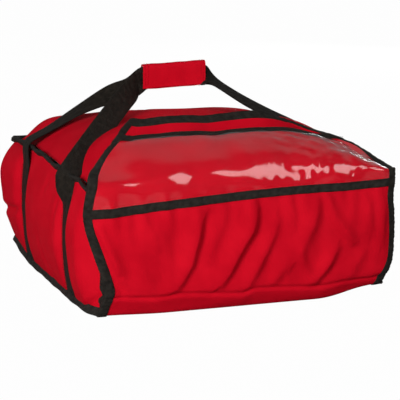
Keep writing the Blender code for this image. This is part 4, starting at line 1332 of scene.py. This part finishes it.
# The way from the seam to the wrap: share of the run, rise over the straight line in millimetres, and twist
# from flat to upright.
FRONT_LEFT_RUN = (
    (0.0, 0, 0.34), (0.06, 0, 0.45), (0.2, 1, 0.50), (0.5, 2, 0.50), (0.8, 1, 0.55), (0.93, -3, 0.72),
    (1.0, 0, 0.95),
)
FRONT_RIGHT_RUN = (
    (0.0, 0, 0.05), (0.1, 0, 0.08), (0.3, -1, 0.10), (0.45, -3, 0.14), (0.55, -7, 0.20), (0.62, -8.5, 0.26),
    (0.72, -8.5, 0.28), (0.8, -7, 0.27), (0.87, -5, 0.26), (0.95, -2, 0.26), (1.0, 0, 0.27),
)
BACK_LEFT_RUN = (
    (0.0, 0, 0.0), (0.2, 0, 0.0), (0.45, 5, 0.10), (0.68, 4.5, 0.36), (0.82, 1, 0.70), (0.93, -7, 0.88),
    (1.0, -4, 0.9),
)
BACK_RIGHT_RUN = (
    (0.0, 0, 0.0), (0.2, -2, 0.0), (0.35, -3, 0.05), (0.44, -2, 0.10), (0.55, -4, 0.16), (0.7, -5, 0.22),
    (0.9, -4, 0.24), (1.0, 0, 0.26),
)
RUN_STATIONS = 40
# Where the straps leave the wrap, measured from its ends: outward and down.
LEFT_EXIT = (0.010, 0.011)
RIGHT_EXIT = (0.011, 0.0095)
# The straps: name, depth, place in the wrap, runs, nodes, and the two ends of the bend that they make.
STRAPS = (
    ("front_strap", -STRAP_Y, -0.00115, (FRONT_LEFT_RUN, FRONT_RIGHT_RUN),
     ["front_strap_left", "front_strap_right", "front_handle"], (0, -0.011, 0.275), (0, 0.100, 0.330)),
    ("back_strap", STRAP_Y, 0.00115, (BACK_LEFT_RUN, BACK_RIGHT_RUN),
     ["back_strap_left", "back_strap_right", "back_handle"], (0, 0.127, 0.215), (0, 0.106, 0.330)),
)
# Where the front and the back straps come off the wall: unsewn rows, place outward of the seam, the turn's
# foot and the free run's start, both measured up from the seam.
FRONT_OFF = (9, 0.006, -0.024, 0.008)
BACK_OFF = (4, 0.003, -0.008, 0.012)
TURN_HEIGHT = 0.003
START_OUT = 0.006
START_BACK = 0.003
SEWN_LIFT = 0.0016
STRAP_STITCH_OFFSET = 0.0160
STRAP_STITCH_LIFT = 0.0028
STRAP_STITCH_ROWS = (2, 6)
# The strap inside the wrap, and the smoothing of its run.
INSIDE_SHARE = 0.9
INSIDE_STATIONS = 7
STRAP_STEP = 0.004
STRAP_BLUR = 1.6
STRAP_WIDTH_BLUR = 2.2
RUN_BLUR = 8.0
RUN_DENSITY = 201


def strap_half(wall, side, anchor_y, offset, run_table):
    """Stations of one half of a strap, from the bottom seam to the wrap: points and width directions."""
    front = anchor_y < 0
    unsewn, off, low, high = FRONT_OFF if front else BACK_OFF
    rows = np.arange(0, WALL_ROWS - unsewn, 2.0)
    sewn = wall.at(rows, np.full(len(rows), wall_column(side, anchor_y)), SEWN_LIFT)[0]
    sewn[:, 1] = anchor_y
    flat, upright = np.array([0.0, 1.0, 0.0]), np.array([0.0, 0.0, 1.0])
    seam = SEAM_HEIGHT + float(table_at(SEAM_BOW, anchor_y))
    turn_x = side * (HALF_WIDTH + SEAM_CLEAR + off)
    turn = np.array([[turn_x, anchor_y, seam + up] for up in (low, TURN_HEIGHT)])
    start = np.array([side * (HALF_WIDTH + START_OUT), anchor_y + START_BACK, seam + high])
    out, down = LEFT_EXIT if side < 0 else RIGHT_EXIT
    end = GRIP_CENTRE + np.array([side * (GRIP_HALF + out), offset, -down])
    table = np.array(run_table)
    share = np.linspace(0, 1, RUN_STATIONS)
    rise = smooth_table(table[:, 0], table[:, 1] * MM, share)
    twist = smooth_table(table[:, 0], table[:, 2], share)
    free = start + share[:, None] * (end - start) + upright * rise[:, None]
    slope = unit(np.gradient(free, axis=0))
    level = unit(flat - slope * (slope @ flat)[:, None])
    steep = unit(upright - slope * (slope @ upright)[:, None])
    angle = twist[:, None] * math.pi / 2
    width = unit(level * np.cos(angle) + steep * np.sin(angle))
    flare = unit(np.array([side * STRAP_FLARE, 1.0, STRAP_FLARE / 3])) if front else flat
    widths = np.concatenate([np.broadcast_to(flat, (len(sewn), 3)), [flare, flare], width])
    return np.concatenate([sewn, turn, free]), widths


def smooth_table(known, values, share):
    """Reads a table with soft turns between its points."""
    even = np.linspace(0, 1, RUN_DENSITY)
    return np.interp(share, even, blur(np.interp(even, known, values), RUN_BLUR))


def strap_stitches(wall):
    """Two rows of stitches up each strap where it is sewn to an end panel."""
    rows = np.arange(STRAP_STITCH_ROWS[0], WALL_ROWS - STRAP_STITCH_ROWS[1], 1.0)
    lines = []
    for side in (-1, 1):
        for middle in (-STRAP_Y, STRAP_Y):
            for offset in (-STRAP_STITCH_OFFSET, STRAP_STITCH_OFFSET):
                column = np.full(len(rows), wall_column(side, middle + offset))
                lines.append(wall.at(rows, column, STRAP_STITCH_LIFT))
    stitches("strap_stitches", lines, "thread", body="bag")


def build_straps(wall):
    strap_stitches(wall)
    for name, anchor_y, offset, runs, nodes, start, end in STRAPS:
        left, left_width = strap_half(wall, -1, anchor_y, offset, runs[0])
        right, right_width = strap_half(wall, 1, anchor_y, offset, runs[1])
        inside = np.zeros((INSIDE_STATIONS, 3))
        inside[:, 0] = np.linspace(-INSIDE_SHARE, INSIDE_SHARE, INSIDE_STATIONS) * GRIP_HALF
        inside[:, 1] = offset
        inside_width = np.broadcast_to([0.0, 0.0, 1.0], inside.shape)
        points = np.concatenate([left, GRIP_CENTRE + inside, right[::-1]])
        widths = np.concatenate([left_width, inside_width, right_width[::-1]])
        points, widths = resample(points, widths)
        strap = ribbon(name, points, widths, WEBBING_WIDTH, WEBBING_THICKNESS, MATERIALS["webbing"])
        place(strap, "webbing", nodes, between=("bag", "handle"), start=start, end=end)


def resample(points, widths):
    """Evenly spaced points and width directions along a line, with its corners eased."""
    length = line_lengths(points)
    even = np.linspace(0, length[-1], int(length[-1] / STRAP_STEP))
    points = blur(line_at(points, length, even), STRAP_BLUR)
    widths = blur(line_at(widths, length, even), STRAP_WIDTH_BLUR)
    tangent = unit(np.gradient(points, axis=0))
    return points, unit(widths - tangent * np.sum(widths * tangent, axis=1, keepdims=True))


# The webbing's section: shares of its half width, and of its half thickness there.
RIBBON_SHARES = np.array([-1.0, -0.96, -0.7, -0.35, 0.0, 0.35, 0.7, 0.96, 1.0])
RIBBON_SWELLS = np.array([0.35, 0.8, 1.0, 1.0, 1.0, 1.0, 1.0, 0.8, 0.35])


def ribbon(name, points, widths, width, thickness, material):
    up = unit(np.cross(widths, unit(np.gradient(points, axis=0))))
    face = np.stack([RIBBON_SHARES * width / 2, RIBBON_SWELLS * thickness / 2], axis=1)
    back = face[::-1] * np.array([1, -1])
    return sweep(name, points, widths, up, np.concatenate([face, back]), material)


# The wrap's layers: name, half length, stations, section as (back, up) from its middle in millimetres,
# thickness, kind, node and body. Cloth goes down both sides of the webbing, and the leaf closes it.
WRAP_LAYERS = (
    ("wrap_cloth", GRIP_HALF, 60,
     ((-6.8, -19), (-6.8, 17), (-5.1, 21.5), (0, 23.5), (5.1, 21.5), (6.8, 17), (6.8, -19)),
     0.0010, "red", "grip_wrap", "handle"),
    ("wrap_pad", GRIP_HALF * 0.97, 60, ((-5.1, -18.5), (-5.1, 16.5), (0, 21.2), (5.1, 16.5), (5.1, -18.5)),
     0.0024, "foam", "grip_padding", "handle"),
    ("wrap_loop_strip", 0.05, 20, ((7.6, -9), (7.8, 1), (7.6, 11)),
     0.0008, "loop", "grip_loop_tape", "handle"),
    ("wrap_hook_strip", 0.05, 20, ((9, -9), (9.2, 1), (9, 11)),
     0.0008, "hook", "grip_hook_tape", "wrap_leaf"),
    ("wrap_leaf_cloth", GRIP_HALF * 0.99, 60,
     ((-6.6, -20.5), (0, -22.5), (7, -21.8), (10, -18), (10.4, 0), (10, 11.5)),
     0.0010, "red", "grip_leaf", "wrap_leaf"),
)
WRAP_ROWS = 40
WRAP_BLUR = 1.2
# Rows of stitches across the wrap, in columns from each of its ends.
WRAP_STITCH_COLUMNS = (2.0, 4.5)
WRAP_STITCH_LIFT = 0.0008


def build_wrap():
    for name, half_length, stations, section, thickness, kind, node, body in WRAP_LAYERS:
        x = np.linspace(-half_length, half_length, stations)
        bar(name, x, section, thickness, kind, node, body)


def bar(name, x, section, thickness, kind, node, body):
    """A sheet bent round the wrap along its section."""
    known = np.array(section) * MM
    length = line_lengths(known)
    section_points = blur(line_at(known, length, np.linspace(0, length[-1], WRAP_ROWS)), WRAP_BLUR)
    across, rows = np.meshgrid(x, np.arange(WRAP_ROWS))
    y, z = section_points[rows, 0], section_points[rows, 1]
    points = np.stack([across, y, z + WRAP_SLOPE * across], axis=-1) + GRIP_CENTRE
    skin = Skin(points, (0, 0, 1) if section[0][1] < 0 and section[-1][1] < 0 else (0, 1, 0))
    piece = layer(name, skin, waves("wrap", across, z), thickness, MATERIALS[kind])
    place(piece, kind, [node], body=body)
    if kind == "red":
        rows = np.arange(2, WRAP_ROWS - 2, 1.0)
        last = len(x) - 1
        columns = WRAP_STITCH_COLUMNS + tuple(last - column for column in reversed(WRAP_STITCH_COLUMNS))
        lines = [skin.at(rows, np.full(len(rows), column), WRAP_STITCH_LIFT) for column in columns]
        stitches(name.replace("cloth", "stitches"), lines, "red_thread", body=body)
        declare_sheet(piece)


# Floor, lamps and camera.
BACKDROP_EDGE = 0.30
ROOM_EDGE = 0.05
BACKDROP_LIGHT = 0.21
ROOM_LIGHT = 0.045
FLOOR_GLOW = 0.985
FLOOR_REACH = 12.0
FLOOR_DROP = 0.0005
FLOOR_GREY = (0.25, 0.25, 0.25)
# The lamps: place, target, size, power, and whether the vinyl shows them.
LAMPS = {
    "key": ((-1.98, -2.03, 0.96), (0, 0, 0.1), (0.9, 0.9), 81, True),
    "back_fill": ((1.90, 2.70, 0.50), (0, 0, 0.1), (1.2, 0.6), 62, False),
    "front_softbox": ((1.25, -1.60, 1.52), (0, -0.23, 0.22), (1.05, 1.8), 19, True),
}


def build_stage():
    mesh = bpy.data.meshes.new("floor")
    corners = [(x * FLOOR_REACH, y * FLOOR_REACH, 0) for x, y in ((-1, -1), (1, -1), (1, 1), (-1, 1))]
    mesh.from_pydata(corners, [], [(0, 1, 2, 3)])
    floor = add_object("floor", mesh)
    floor.location.z = -FLOOR_DROP
    material, tree, shader = new_material("pale_floor", FLOOR_GREY, roughness=0.8, specular=0.1)
    glow = add_node(tree, "Emission")
    path = add_node(tree, "LightPath")
    share = math_node(tree, "MULTIPLY", path.outputs["Is Camera Ray"], FLOOR_GLOW)
    mixed = mix_shaders(tree, share, shader.outputs[0], glow.outputs[0])
    tree.links.new(mixed, tree.nodes["Material Output"].inputs["Surface"])
    mesh.materials.append(material)


def build_world():
    """A backdrop behind the bag and a dim room in front of it, and plain white for the camera alone."""
    world = bpy.data.worlds.new("studio")
    bpy.context.scene.world = world
    world.use_nodes = True
    tree = world.node_tree
    background = tree.nodes["Background"]
    direction = add_node(tree, "TexCoord")
    split = add_node(tree, "SeparateXYZ")
    tree.links.new(direction.outputs["Generated"], split.inputs[0])
    height = add_node(tree, "MapRange", interpolation_type="SMOOTHSTEP")
    for socket, value in zip(height.inputs[1:5], (ROOM_EDGE, BACKDROP_EDGE, ROOM_LIGHT, BACKDROP_LIGHT)):
        socket.default_value = value
    tree.links.new(split.outputs["Y"], height.inputs[0])
    path = add_node(tree, "LightPath")
    background.inputs["Color"].default_value = (1, 1, 1, 1)
    light = math_node(tree, "MAXIMUM", path.outputs["Is Camera Ray"], height.outputs[0])
    tree.links.new(light, background.inputs["Strength"])


def build_lamps():
    for name, (position, target, size, power, reflected) in LAMPS.items():
        data = bpy.data.lights.new(name, "AREA")
        data.shape = "RECTANGLE"
        data.size, data.size_y = size
        data.energy = power
        lamp = add_object(name, data)
        lamp.location = position
        lamp.rotation_mode = "QUATERNION"
        lamp.rotation_quaternion = (Vector(target) - Vector(position)).to_track_quat("-Z", "Y")
        lamp.visible_glossy = reflected


def build_camera():
    data = bpy.data.cameras.new("camera")
    data.lens = CAMERA_LENS
    data.shift_x, data.shift_y = CAMERA_SHIFT
    camera = add_object("camera", data)
    flat = math.cos(CAMERA_ELEVATION)
    back = Vector(
        (math.sin(CAMERA_AZIMUTH) * flat, -math.cos(CAMERA_AZIMUTH) * flat, math.sin(CAMERA_ELEVATION))
    )
    camera.location = CAMERA_TARGET + back * CAMERA_DISTANCE
    camera.rotation_mode = "QUATERNION"
    camera.rotation_quaternion = (-back).to_track_quat("-Z", "Y") @ Quaternion((0, 0, 1), CAMERA_ROLL)
    bpy.context.scene.camera = camera


def main():
    build_camera()
    wall = build_wall()
    top = build_top()
    build_bottom()
    build_seam_tapes()
    build_mouth_tape(wall, top)
    build_flap()
    build_closure()
    build_straps(wall)
    build_wrap()
    build_stage()
    build_world()
    build_lamps()
    bpy.context.scene.view_settings.view_transform = "Standard"


main()
